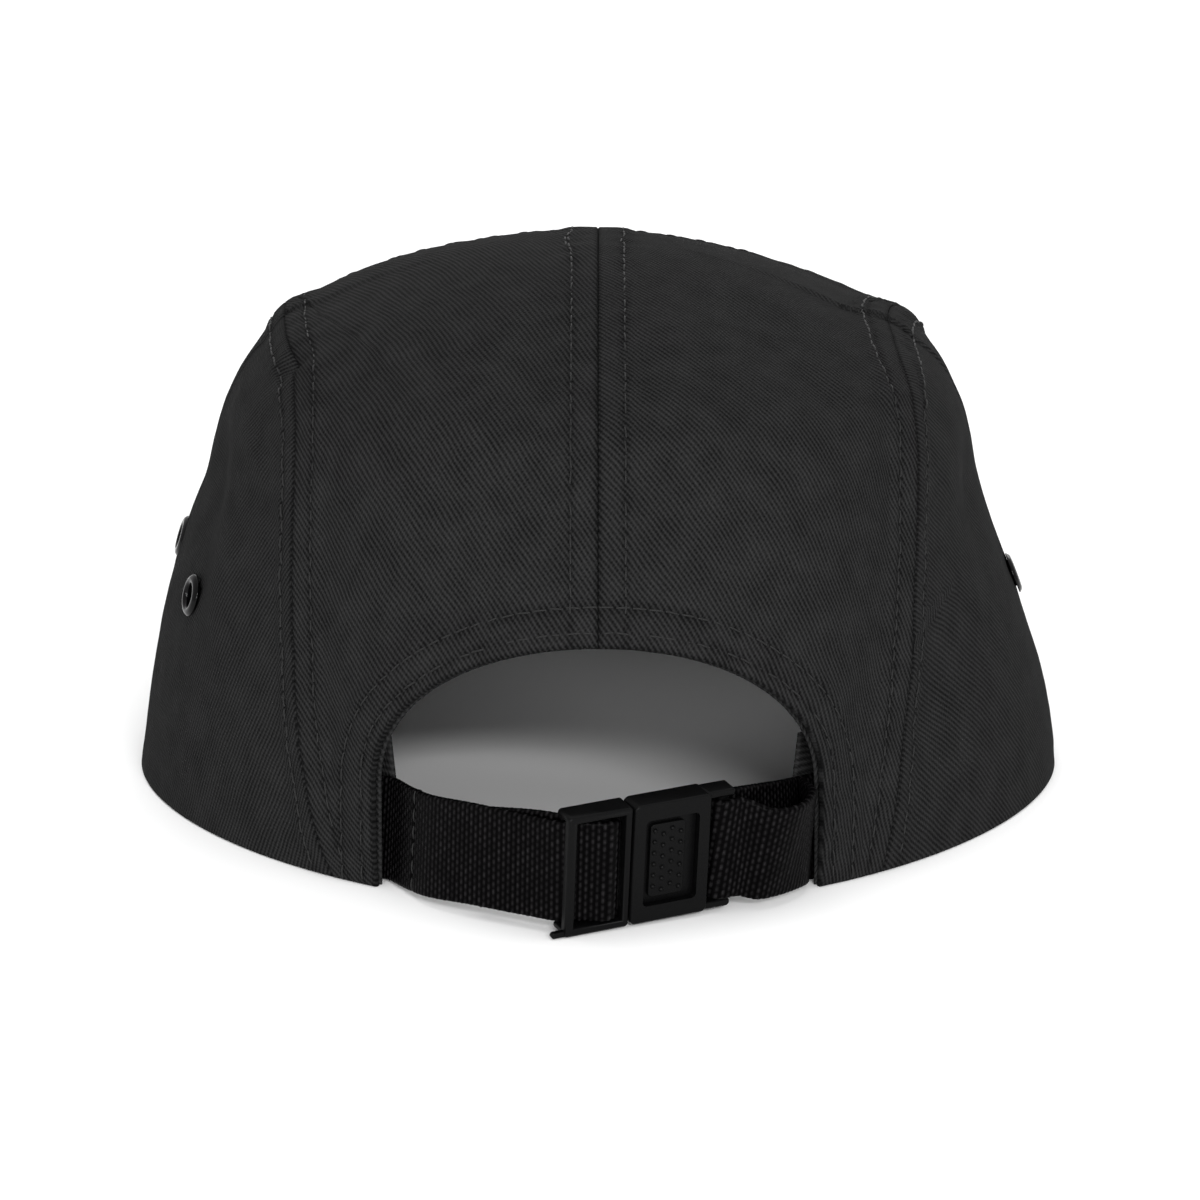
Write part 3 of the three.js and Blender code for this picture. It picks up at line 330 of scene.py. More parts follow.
# across, along, half length, half width, direction in degrees, push as a share of the depth
folds = np.array([
    (0.41, 0.2, 0.035, 0.025, 20, -0.5), (0.59, 0.14, 0.12, 0.045, 70, -0.35),
    (0.62, 0.3, 0.12, 0.05, 70, 0.2), (-0.62, 0.14, 0.1, 0.05, 110, -0.3),
    (-0.24, 0.24, 0.14, 0.07, 130, -0.3), (-0.12, 0.42, 0.16, 0.05, 100, 0.2),
    (0.2, 0.4, 0.18, 0.07, 60, 0.2), (-0.62, 0.52, 0.16, 0.05, 60, -0.25),
    # finer creases, beside a dimple and where the cloth drapes
    (0.5, 0.27, 0.07, 0.012, 100, 0.1), (0.52, 0.33, 0.07, 0.013, 118, -0.1),
    (0.47, 0.36, 0.06, 0.012, 75, 0.08), (0.68, 0.25, 0.08, 0.03, 80, -0.18),
    (-0.34, 0.3, 0.1, 0.03, 140, 0.12), (-0.42, 0.36, 0.12, 0.025, 120, -0.12),
    (-0.52, 0.62, 0.1, 0.03, 75, 0.14), (-0.46, 0.66, 0.1, 0.03, 70, -0.12)])
print(len(folds), "folds and creases in the crown")


def near_seam(place):
    """Distance to the nearer side seam along the cloth, in millimetres."""
    flat = place.reshape(-1, 2)
    nearest = np.full(len(flat), np.inf)
    for name in columns:
        mine = (flat[:, 0] > 0) if name == "left" else (flat[:, 0] <= 0)
        p = np.abs(flat[mine, 0]), flat[mine, 1]
        best = np.full(mine.sum(), np.inf)
        samples = seam_samples[name]
        for a, b in zip(samples[:-1], samples[1:]):
            d = b - a
            t = np.clip(((p[0] - a[0]) * d[0] + (p[1] - a[1]) * d[1]) / (d @ d), 0, 1)
            best = np.minimum(best, np.hypot(p[0] - a[0] - t * d[0], p[1] - a[1] - t * d[1]))
        nearest[mine] = best
    return nearest.reshape(place.shape[:-1]) * cloth_length


def crown_face(place):
    """Points of the crown's outer face and the directions out of it."""
    push = seam_ridge * np.exp(-(near_seam(place) / seam_ridge_spread) ** 2)
    for across, along, length, width, turn, depth in folds:
        c, s = math.cos(math.radians(turn)), math.sin(math.radians(turn))
        dx, dy = place[..., 0] - across, place[..., 1] - along
        push = push + fold_depth * depth * np.exp(
            -((dx * c + dy * s) / length) ** 2 - ((dy * c - dx * s) / width) ** 2)
    fade = np.clip((1 - np.hypot(place[..., 0], place[..., 1])) / rim_fade, 0, 1)
    e, f = cloth_ways(place)
    normal = unit(np.cross(e, f))
    return smooth_crown(place) + normal * (push * fade)[..., None], normal

# %% [markdown]
# ## What sewing does to the face
# Beside a seam the turned-in allowance lifts the cloth as far as its row of stitches. The
# thread pulls a narrow valley, deepest where it dips through, and the cloth between two
# rows puckers a little. The valleys and the seam line itself are also given painted shade.
# Here each seam is a line of points with a search tree, so that any point of the cloth can
# ask how far away it is and how far along the seam it lies.

# %% Seam lines and the relief beside them
stitch_pitch = 3.0
half_gap = -0.02  # panels lie over each other by this on a seam, so that no light comes through
valley_width, valley_depth = 0.6, 0.3  # of the groove that a row of stitches pulls
allowance_slope = 2.2  # width of the slope where the turned-in allowance ends
pucker_length, pucker_reach = 2.4, 5.0  # in stitches along the seam; in mm away from its row
pucker_size, pucker_seed = 26, 40  # of the unevenness that keeps the puckers from being alike
crease_width = 0.55  # of the line of painted shade that runs in the seam
# size of the cloth's unevenness, how far it stands out, its seed
unevenness = ((34, 0.22, 7), (11, 0.07, 8), (4, 0.025, 9))


def search_tree(points):
    """A tree that finds the nearest of many points quickly."""
    tree = kdtree.KDTree(len(points))
    for i, point in enumerate(points):
        tree.insert(point, i)
    tree.balance()
    return tree


class SeamLine:
    """A seam on the crown: its allowance's width and the rows of stitches beside it."""

    def __init__(self, places, rows, allowance, lift):
        points = crown_face(places)[0]
        self.rows, self.allowance, self.lift = rows, allowance, lift
        steps = np.linalg.norm(np.diff(points, axis=0), axis=1)
        self.far = np.concatenate([[0], np.cumsum(steps)])
        self.tree = search_tree(points)

    def nearest(self, points):
        found = np.array([self.tree.find(p)[1:] for p in points.reshape(-1, 3)])
        distance = found[:, 1].reshape(points.shape[:-1])
        return distance, self.far[found[:, 0].astype(int)].reshape(points.shape[:-1])


def ripple(points, size, seed, waves=14):
    """A soft, repeatable unevenness about -1 to 1, whose bumps are about that size."""
    rng = np.random.default_rng(seed)
    total = 0
    for _ in range(waves):
        way = unit(rng.normal(size=3)) * 2 * math.pi / (size * rng.uniform(0.8, 2.2))
        total = total + np.sin(points @ way + rng.uniform(0, 2 * math.pi))
    return total / math.sqrt(waves)


def fall(distance, start, end):
    """A smooth way down from 1 at the start to 0 at the end."""
    t = np.clip((distance - start) / (end - start), 0, 1)
    return 1 - t * t * (3 - 2 * t)


def relief(points, touching, pucker=0.16):
    """How far the sewn cloth stands out of the bare crown, and how much painted shade it takes in
    its seam and stitch valleys.
    """
    push, painted_seam_shade = 0, 0
    for k, name in enumerate(touching):
        line = lines[name]
        distance, along = line.nearest(points)
        allowance_end = line.allowance + allowance_slope
        push = np.maximum(push, line.lift * fall(distance, line.allowance, allowance_end))
        wave = np.sin(2 * math.pi * along / (pucker_length * stitch_pitch)
                      + 2.5 * ripple(points, pucker_size, pucker_seed + k))
        push = push + pucker * wave * fall(np.abs(distance - line.rows[0]), 0.4, pucker_reach)
        for row in line.rows:
            dip = 0.75 + 0.25 * np.cos(2 * math.pi * along / stitch_pitch)
            valley = np.exp(-((distance - row) / valley_width) ** 2)
            push = push - valley_depth * dip * valley
            # painted shade in the stitch valley, and below it along the seam line itself
            painted_seam_shade = np.maximum(painted_seam_shade, 0.7 * valley * dip)
        painted_seam_shade = np.maximum(painted_seam_shade, np.exp(-(distance / crease_width) ** 2))
    for size, rise, seed in unevenness:
        push = push + rise * ripple(points, size, seed)
    return push, painted_seam_shade


# from a seam to its rows of stitches and to the end of its allowance, and the allowance's lift
side_row, side_allowance, side_lift = 4.0, 4.7, 0.5
middle_row, middle_allowance, middle_lift = 5.0, 5.7, 0.4
arch_row_pair, arch_allowance, arch_lift = (2.7, 7.2), 8.2, 0.45

steps = np.linspace(0, 1, 500)
top_line = float(np.mean([seam[name](top_share)[1] for name in columns]))
top_ends = [mirror(seam[name](top_share), name) for name in ("left", "right")]
centre_places = np.column_stack([0 * steps, top_line + (arch_places[0][1] - top_line) * steps])
top_places = top_ends[0] + (top_ends[1] - top_ends[0]) * steps[:, None]
both_halves = np.vstack([mirror(arch_path(steps[::-1]), "right"), arch_path(steps)])
lines = {name: SeamLine(mirror(seam[name](steps), name), (side_row,), side_allowance, side_lift)
         for name in columns}
lines["centre"] = SeamLine(centre_places, (middle_row,), middle_allowance, middle_lift)
lines["top"] = SeamLine(top_places, (middle_row,), middle_allowance, middle_lift)
lines["arch"] = SeamLine(both_halves, arch_row_pair, arch_allowance, arch_lift)
print({name: round(float(line.far[-1])) for name, line in lines.items()}, "mm of seam")

# %% [markdown]
# ## A pattern piece
# A panel of cloth is a grid of points stretched between four edges, with extra grid lines
# close to the edges so that they can be rolled over like a real folded edge. The grid is
# also laid out flat again, by letting a net of springs relax, which is what a pattern
# cutter's flat piece is. That flat layout becomes the UV map, so the twill's ribs run
# straight through the cloth and bend only as the cloth bends.

# %% Grids, flattening and a wall of cloth
def edge_shares(length, step):
    """Shares of a length with extra lines near both ends."""
    near = np.array([0, 0.1, 0.25, 0.5, 0.8, 1.2])  # millimetres from the edge
    middle = np.linspace(1.2, length - 1.2, max(2, round((length - 2.4) / step)))[1:-1]
    return np.concatenate([near, middle, length - near[::-1]]) / length


def between_edges(bottom, top, left, right):
    """The places between four edges, for every pair of shares."""
    def at(row, column):
        b, t, l, r = bottom(column), top(column), left(row), right(row)
        u, v = column[None, :, None], row[:, None, None]
        corners = [bottom(np.array([0.0, 1.0])), top(np.array([0.0, 1.0]))]
        flat = ((1 - v) * ((1 - u) * corners[0][0] + u * corners[0][1])
                + v * ((1 - u) * corners[1][0] + u * corners[1][1]))
        return (1 - v) * b[None] + v * t[None] + (1 - u) * l[:, None] + u * r[:, None] - flat
    return at


def relax_flat(points, flat, rounds):
    """A curved grid laid out flat: a net of springs that keep their real lengths."""
    rows, count = points.shape[:2]
    ids = np.arange(rows * count).reshape(rows, count)
    pairs = np.vstack([np.column_stack([a.ravel(), b.ravel()]) for a, b in (
        (ids[:, :-1], ids[:, 1:]), (ids[:-1], ids[1:]),
        (ids[:-1, :-1], ids[1:, 1:]), (ids[:-1, 1:], ids[1:, :-1]))])
    solid, flat = points.reshape(-1, 3), flat.reshape(-1, 2)
    rest = np.linalg.norm(solid[pairs[:, 0]] - solid[pairs[:, 1]], axis=1)
    used = np.bincount(pairs.ravel(), minlength=len(solid))[:, None]
    for _ in range(rounds):
        d = flat[pairs[:, 1]] - flat[pairs[:, 0]]
        length = np.maximum(np.linalg.norm(d, axis=1), 1e-9)
        pull = d * (0.5 * (length - rest) / length)[:, None]
        move = np.stack([np.bincount(pairs[:, 0], pull[:, k], len(flat))
                         - np.bincount(pairs[:, 1], pull[:, k], len(flat)) for k in (0, 1)], 1)
        flat = flat + 1.6 * move / used
    return flat.reshape(rows, count, 2)


def across_ribs(flat, points, normal, slope):
    """The layout turned so that u crosses ribs that have this slope when seen from behind."""
    high, low = math.cos(eye_height), math.sin(eye_height)
    facing = normal @ np.array([0, high, low]) > 0.15  # what the camera sees well
    if facing.mean() < 0.05:  # a panel that is turned away is fitted as a whole
        facing[:] = True
    solid, plane = points[facing], flat[facing]
    fit = np.linalg.lstsq(plane - plane.mean(0), solid - solid.mean(0), rcond=None)[0]
    seen = fit @ np.array([[-1, 0], [0, -low], [0, high]])
    rib = np.array([math.cos(math.radians(slope)), math.sin(math.radians(slope))])
    along = unit(rib @ np.linalg.inv(seen))
    return flat @ np.array([[-along[1], along[0]], [along[0], along[1]]])


def flat_map(points, places, normal, row, column, slope, coarse=26):
    """The flat layout of a fine grid, found on a coarse one and then relaxed once more."""
    pick_r = np.unique(np.linspace(0, len(row) - 1, coarse).round().astype(int))
    pick_c = np.unique(np.linspace(0, len(column) - 1, coarse).round().astype(int))
    picked = np.ix_(pick_r, pick_c)
    flat = relax_flat(points[picked], places[picked] * cloth_length, 700)
    rows = np.stack([smooth_table(row[pick_r], flat[:, k], row) for k in range(flat.shape[1])], 1)
    flat = np.stack([smooth_table(column[pick_c], rows[k], column) for k in range(len(row))])
    flat = relax_flat(points, flat, 300)
    middle = flat.reshape(-1, 2) - flat.reshape(-1, 2).mean(0)
    size = np.ptp(middle @ np.linalg.svd(middle, full_matrices=False)[2].T, axis=0)
    return across_ribs(flat, points, normal, slope), size


def add_object(name, data):
    """An object at the origin, put into the scene."""
    thing = bpy.data.objects.new(name, data)
    bpy.context.scene.collection.objects.link(thing)
    return thing


def add_mesh(name, points, faces, uv=None, **attributes):
    """A mesh object in metres, with its faces outwards, a UV map and point attributes."""
    mesh = bpy.data.meshes.new(name)
    co = metres(points)
    faces = np.asarray(faces)
    a, b, c, d = (co[faces[:, k]] for k in range(4))
    volume = np.einsum("ij,ij->i", a, np.cross(b, c)).sum()
    volume += np.einsum("ij,ij->i", a, np.cross(c, d)).sum()
    if volume < 0:
        faces = faces[:, ::-1]
    mesh.from_pydata(co.tolist(), [], faces.tolist())
    mesh.polygons.foreach_set("use_smooth", np.ones(len(mesh.polygons), bool))
    if uv is not None:
        corner = np.zeros(len(mesh.loops), int)
        mesh.loops.foreach_get("vertex_index", corner)
        layer = mesh.uv_layers.new(name="cloth")
        layer.data.foreach_set("uv", np.asarray(uv, np.float32)[corner].ravel())
    for key, value in attributes.items():
        layer = mesh.attributes.new(key, "FLOAT", "POINT")
        layer.data.foreach_set("value", np.asarray(value, np.float32).ravel())
    mesh.update()
    return add_object(name, mesh)


def rolled_wall(name, outer, normal, border, wall, uv, roll=0.36, mark=None, hole=None):
    """A closed wall of cloth below an outer grid, with its edges rolled over."""
    rows, count = outer.shape[:2]
    ease = np.clip(border / roll, 0, 1)
    sink = wall / 2 * (1 - np.sqrt(np.clip(1 - (1 - ease) ** 2, 0, 1)))
    edge = np.zeros((rows, count), bool)
    edge[[0, -1]] = True
    edge[:, [0, -1]] = True
    sink[edge] = wall / 2
    top = outer - normal * sink[..., None]
    under = outer - normal * (wall - sink)[..., None]
    ids = np.arange(rows * count).reshape(rows, count)
    low = np.where(edge, ids, ids.size + np.cumsum(~edge.ravel()).reshape(rows, count) - 1)
    kept = np.ones((rows - 1, count - 1), bool) if hole is None else ~hole
    quads = []
    for grid, order in ((ids, (0, 1, 2, 3)), (low, (3, 2, 1, 0))):
        corner = (grid[:-1, :-1], grid[:-1, 1:], grid[1:, 1:], grid[1:, :-1])
        quads.append(np.stack([corner[k][kept] for k in order], 1))
    sides = []
    if hole is not None:
        for r, c in zip(*np.nonzero(hole)):
            around = ((r - 1, c, (r, c), (r, c + 1)), (r + 1, c, (r + 1, c + 1), (r + 1, c)),
                      (r, c - 1, (r + 1, c), (r, c)), (r, c + 1, (r, c + 1), (r + 1, c + 1)))
            for i, j, a, b in around:
                if not hole[i, j]:
                    sides.append((ids[a], ids[b], low[b], low[a]))
    faces = np.vstack(quads + ([np.array(sides)] if sides else []))
    points = np.vstack([top.reshape(-1, 3), under[~edge]])
    points[:, 2] = np.maximum(points[:, 2], 0)  # the rim rests on the floor
    flat = np.vstack([uv.reshape(-1, 2), uv[~edge]])
    # painted light: painted shade in the seams and stitch valleys of cloth, a painted highlight on
    # each float of webbing
    marked = np.zeros((rows, count)) if mark is None else mark
    both = [np.concatenate([v.ravel(), v[~edge]]) for v in (marked, 1 - ease)]
    used = np.unique(faces)
    renumber = np.zeros(len(points), int)
    renumber[used] = np.arange(len(used))
    return add_mesh(name, points[used], renumber[faces], flat[used],
                    mark=both[0][used], worn=both[1][used])


def grid_border(points):
    """Distance from each point of a grid to the grid's edge."""
    tree = search_tree(np.vstack([points[0], points[-1], points[:, 0], points[:, -1]]))
    return np.array([tree.find(p)[2] for p in points.reshape(-1, 3)]).reshape(points.shape[:-1])

# %% [markdown]
# ## The five panels
# One front panel, two side panels and two back panels. Each is named, given the seams that
# touch it and the slope of its twill, which depends on how the pattern piece lay on the
# bolt, and then built, and its flat size is measured and printed.

# %% Cut and sew the panels
cloth_wall = 1.6
row_step = 1.15 / fine
top_columns = 5 / 30  # share of a back panel's columns that meet the seam over the top
crowding = 1.35  # how much more than their share of the arch those columns take


def side_panel_places(name):
    edge = side_seam(columns[name], -half_gap)
    turns = turn_of(edge(np.array([0.0, 1.0])))
    return between_edges(lambda c: rim_at(turns[0] + (turns[1] - turns[0]) * c),
                         lambda c: edge(top_share + (rear_share - top_share) * c),
                         lambda r: edge(top_share * r), lambda r: edge(1 + (rear_share - 1) * r))


def back_panel_places(name):
    edge = side_seam(columns[name], half_gap)
    half = half_gap / cloth_length
    cross = edge(np.array(top_share)) + np.array([0, half])
    start = np.array([half, top_line + half])
    arch_start = np.array([half, arch_places[0][1]])

    def outer(c):
        over = start + (cross - start) * np.clip(c / top_columns, 0, 1)[:, None]
        past = np.clip((c - top_columns) / (1 - top_columns), 0, 1)
        return np.where((c < top_columns)[:, None], over, edge(top_share + below_share * past))

    def arch(c):
        first = crowding * top_columns
        place = arch_path(np.where(
            c < top_columns, crowding * c,
            first + (1 - first) * (c - top_columns) / (1 - top_columns)))
        place[:, 0] = np.where(c == 0, half, place[:, 0])
        return place

    feet = turn_of(np.array([arch_path(1.0), edge(np.array(1.0))]))
    return between_edges(arch, outer,
                         lambda r: arch_start + (start - arch_start) * r[:, None],
                         lambda r: rim_at(feet[0] + (feet[1] - feet[0]) * r))


def front_panel_places(_):
    edges = {name: side_seam(columns[name], half_gap) for name in columns}

    def left(r):
        return edges["left"](r * top_share)

    def right(r):
        return mirror(edges["right"](r * top_share), "right")

    both = np.array([0.0, 1.0])
    (left_end, left_top), (right_end, right_top) = left(both), right(both)
    turns = [turn_of(left_end), turn_of(right_end)]
    turns[1] -= 2 * math.pi * (turns[1] > 0)
    return between_edges(lambda c: rim_at(turns[0] + (turns[1] - turns[0]) * c),
                         lambda c: left_top + (right_top - left_top) * c[:, None], left, right)


# name, side, places, rows, columns (mm), slope of the ribs from behind, seams that touch it
panel_table = [
    ("front_panel", None, front_panel_places, 110, 145, 48, ("left", "right", "top")),
    ("side_panel_left", "left", side_panel_places, 95, 150, 64, ("left",)),
    ("side_panel_right", "right", side_panel_places, 95, 150, -48, ("right",)),
    ("back_panel_left", "left", back_panel_places, 105, 215, -53,
     ("left", "centre", "top", "arch")),
    ("back_panel_right", "right", back_panel_places, 105, 215, -60,
     ("right", "centre", "top", "arch")),
]
# side, end, distance behind the crown's middle, height above the rim
eyelets = [("left", "rear", 27, 41), ("left", "front", 0, 46),
           ("right", "rear", 0.5, 38.5), ("right", "front", -26.5, 43.5)]
eyelet_hole, eyelet_flange, eyelet_room = 4.4, 8.4, 1.0
relief_fade = 0.03  # share of the crown, above the rim, in which the relief fades out


def place_on_side(name, behind, level):
    """The place on a side panel so far behind the crown's middle and so high above the rim."""
    turn = search(np.array(math.radians(-60)), np.array(math.radians(60)),
                  lambda t: smooth_crown(place_at_height(t, level))[..., 1] < behind)
    return mirror(place_at_height(turn, level), name)


def eyelet_seat(name, behind, level):
    point, normal = crown_face(place_on_side(name, behind, level)[None])
    return point[0], normal[0]


def holes_for_eyelets(side, outer):
    """Which faces of a side panel's grid make way for an eyelet."""
    middles = (outer[:-1, :-1] + outer[1:, 1:]) / 2
    hole = np.zeros(middles.shape[:2], bool)
    for owner, _, behind, level in eyelets:
        if owner == side:
            seat = eyelet_seat(owner, behind, level)[0]
            hole |= np.linalg.norm(middles - seat, axis=-1) < eyelet_hole / 2 + eyelet_room
    return hole


panels, cut_sizes = {}, {}
for name, side, places_of, rows, count, ribs, touching in panel_table:
    row, column = edge_shares(rows, row_step), edge_shares(count, row_step)
    places = places_of(side)(row, column)
    if side == "right":
        places = mirror(places, "right")
    face, normal = crown_face(places)
    push, painted_seam_shade = relief(face, touching)
    fade = np.clip((1 - np.hypot(places[..., 0], places[..., 1])) / relief_fade, 0, 1)
    outer = face + normal * (push * fade)[..., None]
    uv, cut_sizes[name] = flat_map(outer, places, normal, row, column, ribs)
    hole = holes_for_eyelets(side, outer) if name.startswith("side") else None
    # the seams' painted shade is stored on the cloth for its finish to darken
    panels[name] = rolled_wall(name + "_cloth", outer, normal, grid_border(outer), cloth_wall, uv,
                               mark=painted_seam_shade, hole=hole)
    print(name, len(panels[name].data.polygons), "faces, cut", np.round(cut_sizes[name]), "mm")

# %% [markdown]
# ## The strip inside the arch
# The arch's raw edge is turned inside and held by a strip of the same cloth. It follows the
# arch below the back panels' cloth, so it is drawn as rows beside the arch's own path.

# %% The strip inside the arch
facing_width, facing_wall, layer_gap = 9.0, 1.0, 0.5
facing_length = 165  # about; it only sets the number of columns


def under_face(places, depth):
    """Points below the crown's face by a depth, with those on the rim kept on its level."""
    point, normal = crown_face(places)
    under = point - normal * np.asarray(depth)[..., None]
    on_rim = np.hypot(places[..., 0], places[..., 1]) > 0.9999
    under[..., 2] = np.where(on_rim, point[..., 2], under[..., 2])
    return under, normal


def grid_flat_uv(points, ribs):
    """A long strip's flat layout: along its rows, and across them."""
    along = np.linalg.norm(np.diff(points, axis=1), axis=-1).cumsum(1)
    across = np.linalg.norm(np.diff(points, axis=0), axis=-1).cumsum(0)
    u = np.concatenate([np.zeros((len(points), 1)), along], 1)
    v = np.concatenate([np.zeros((1, points.shape[1])), across], 0)
    c, s = math.cos(math.radians(ribs)), math.sin(math.radians(ribs))
    return np.stack([u * s - v * c, u * c + v * s], -1)


row, column = edge_shares(facing_width, 1.0), edge_shares(facing_length, row_step)
share = np.abs(2 * column - 1)
arch_side = np.where(column < 0.5, 1.0, -1.0)
strip = np.stack([shifted(arch_path, -facing_width * r)(share) for r in row])
foot = np.isclose(share, 1.0)
strip[:, foot] = rim_at(turn_of(strip[:, foot]))
strip[:, share < 0.004, 0] = 0  # its middle lies on the centre line
strip = strip * np.stack([arch_side, np.ones_like(arch_side)], -1)
# 0.02 mm into the panel, so that no light comes between them
strip, strip_normal = under_face(strip, np.full(strip.shape[:2], cloth_wall - 0.02))
panels["arch_facing"] = rolled_wall("arch_facing_cloth", strip, strip_normal, grid_border(strip),
                                    facing_wall, grid_flat_uv(strip, 45), roll=0.5)
print("strip %.0f mm long" % np.linalg.norm(np.diff(strip[0], axis=0), axis=1).sum())

# %% [markdown]
# ## The sweatband
# A ribbed band is sewn inside the rim and keeps the cap off the skin. Its two cut ends show
# beside the arch, a little farther apart at the top. It is walked along the rim, and it
# makes way for the webbing that is tucked between it and the cloth.

# %% The sweatband
band_height, band_wall, band_show, band_lift, strap_tuck = 28.0, 1.2, 0.6, 1.2, 12.0
band_slant = 6.5  # how much farther apart its cut ends lie at the top than at the rim
band_length = 560  # about; it only sets the number of columns
ease_start, ease_length = 28.0, 15.0  # how it comes in to make way for the tucked webbing
webbing_width, webbing_thickness = 19.6, 1.4
facing_depth = cloth_wall + layer_gap
strap_depth = facing_depth + facing_wall + layer_gap
layer_step = webbing_thickness + layer_gap


def band_depth(turn):
    """It lies deeper beside the arch, over one layer of webbing or two."""
    def near(foot):
        past = np.abs(np.arctan2(np.sin(turn - foot), np.cos(turn - foot))) * rim_radius
        return 1 - fall(strap_tuck + ease_start - past, 0, ease_length)
    under = facing_depth + facing_wall - cloth_wall + layer_step
    return (cloth_wall + layer_gap + near(arch_foot) * under
            + near(math.pi - arch_foot) * (under + layer_step))


band_span = band_height - band_lift
row, column = edge_shares(band_span, 1.6), edge_shares(band_length, row_step * 1.6)
start = arch_foot + (band_show + band_slant * (0.5 - row)) / rim_radius
turns = start[:, None] + (-math.pi - 2 * start)[:, None] * column
places = np.stack([place_at_height(turn, band_lift + band_span * r)
                   for turn, r in zip(turns, row)])
band, band_normal = under_face(places, band_depth(turns))
soft = 0.25 * ripple(band, 30, 17) * np.sin(math.pi * row)[:, None]
band = band + band_normal * soft[..., None]
panels["sweatband"] = rolled_wall("sweatband_cloth", band, band_normal, grid_border(band),
                                  band_wall, grid_flat_uv(band, 0), roll=0.6)
cut_sizes["sweatband"] = (float(np.linalg.norm(np.diff(band[0], axis=0), axis=1).sum()), band_span)
print("sweatband %.0f mm long" % cut_sizes["sweatband"][0])

# %% [markdown]
# ## The visor
# The visor is a stiff board in a cloth cover, quilted by rows of stitches that follow its
# outline. Its lower face spans from the rim to the outline, and it rises towards the middle
# because the board is sewn to a round rim.

# %% The visor
visor_thickness, visor_droop, visor_set = 3.6, 0.3, 0.05
visor_board = visor_thickness - 0.1  # the cover's height above its lower face, without the quilting
quilt_depth, quilt_width = 0.35, 0.7  # of the groove that a row of stitches pulls
visor_span = 330  # about, from end to end along the outline; it only sets the number of columns
diagonal = 0.7071  # turns the cover's layout so that the ribs run aslant
# across, ahead: shares of its half width, and of the way from its ends to its tip
visor_outline = np.array([
    (0.845, 0.0), (0.93, 0.09), (0.985, 0.22), (1.0, 0.35), (0.988, 0.48), (0.94, 0.63),
    (0.84, 0.77), (0.68, 0.885), (0.46, 0.96), (0.23, 0.992), (0.0, 1.0)])
seam_end = smooth_crown(seam["left"](np.array([0.0])))[0]
visor_tip = smooth_crown(np.array([[0.0, -1.0]]))[0, 1] - visor_reach
half_outline = np.column_stack([
    visor_outline[:, 0] * visor_half_width,
    seam_end[1] + (visor_tip - seam_end[1]) * visor_outline[:, 1],
    np.zeros(len(visor_outline))])
outline = walk(smooth_curve(np.vstack([half_outline,
                                       half_outline[-2::-1] * np.array([-1, 1, 1])])))
visor_start = float(turn_of(seam["left"](np.array([0.0])))[0])


def visor_face(r, c):
    """Points of the visor's lower face, from the crown (r = 0) to its outline (r = 1)."""
    turn = visor_start + (-math.pi - 2 * visor_start) * c
    inner = smooth_crown(rim_at(turn))
    way = inner * np.array([1, 1, 0])
    inner = inner + unit(way) * visor_set
    point = inner[None] + (outline(c)[None] - inner[None]) * r[:, None, None]
    point[..., 2] = visor_lift(point[..., 0]) * (1 - visor_droop * r[:, None])
    return point


row, column = edge_shares(visor_reach, row_step), edge_shares(visor_span, row_step * 1.3)
low = visor_face(row, column)
visor_normal = unit(np.cross(np.gradient(low, axis=1), np.gradient(low, axis=0)))
visor_normal *= np.sign(visor_normal[..., 2:3])
visor_rows = (3.0, 9.0, 15.0, 21.0, 27.0, 33.0)
from_edge = np.linalg.norm(outline(column)[None, :, :2] - low[..., :2], axis=-1)
quilt = 0.12 * ripple(low, 20, 23)
for distance in visor_rows:
    quilt = quilt - quilt_depth * np.exp(-((from_edge - distance) / quilt_width) ** 2)
high = low + visor_normal * (visor_board + quilt)[..., None]
cover_flat = np.stack([low[..., 0] + low[..., 1], low[..., 0] - low[..., 1]], -1) * diagonal
panels["visor"] = rolled_wall("visor_cloth", high, visor_normal, grid_border(low), visor_board,
                              cover_flat, roll=1.7)
print("visor", np.round(np.ptp(low.reshape(-1, 3), axis=0)[:2]), "mm in plan")

# %% [markdown]
# ## The buckle's place
# A moulded buckle has straight sides and right angles, so it gets axes of its own: x along
# the strap, y outwards and z up. They are turned and leaned a little, as it lies in the
# photograph. Its bars and walls follow one another along x.

# %% Where the buckle stands
buckle_matrix = (Matrix.Rotation(math.radians(27), 3, "Z")
                 @ Matrix.Rotation(math.radians(-8), 3, "X")
                 @ Matrix.Rotation(math.radians(1.5), 3, "Y"))
buckle_turn = np.array(buckle_matrix)
buckle_end = np.array([5.9, 110.6, 0.0])
arm_height, outer_bar, bar_radius, piece_gap = 1.5, 1.8, 1.2, 0.3
shoulder_wall, socket_length = 1.4, 15.6
slot_foot = arm_height + layer_gap
buckle_height = webbing_width + 2 * slot_foot
wrap_radius = bar_radius + piece_gap + webbing_thickness / 2
bar_set = -(wrap_radius + 0.1)
inner_bar_at = -(outer_bar + 2 * wrap_radius + webbing_thickness + 0.5)
wrap_reach = wrap_radius + webbing_thickness / 2 + piece_gap
plug_end = inner_bar_at - wrap_reach - shoulder_wall
socket_start = plug_end - piece_gap
socket_end = socket_start - socket_length
end_bar_at = socket_end - wrap_reach


def on_buckle(x, y, z):
    """A point given on the buckle's own axes, in the crown's millimetres."""
    return buckle_end + buckle_turn @ np.array([x, y, z])


print("buckle runs from x = 0 to %.1f mm, and stands %.1f mm high"
      % (end_bar_at - bar_radius, buckle_height))

# %% [markdown]
# ## The straps
# Webbing is a flat woven band that bends one way only. Each strap is drawn by the paths of
# its lower and upper edges: out from under the back panel, a slack bow beside the arch, and
# a tight turn round a bar of the buckle. Its woven floats are real, low domes in the mesh.

# %% Two lengths of webbing
left_bow = [(0.14, 1.9), (0.34, 4.8), (0.58, 4.4), (0.82, 2.2)]  # share of the way, bow outwards
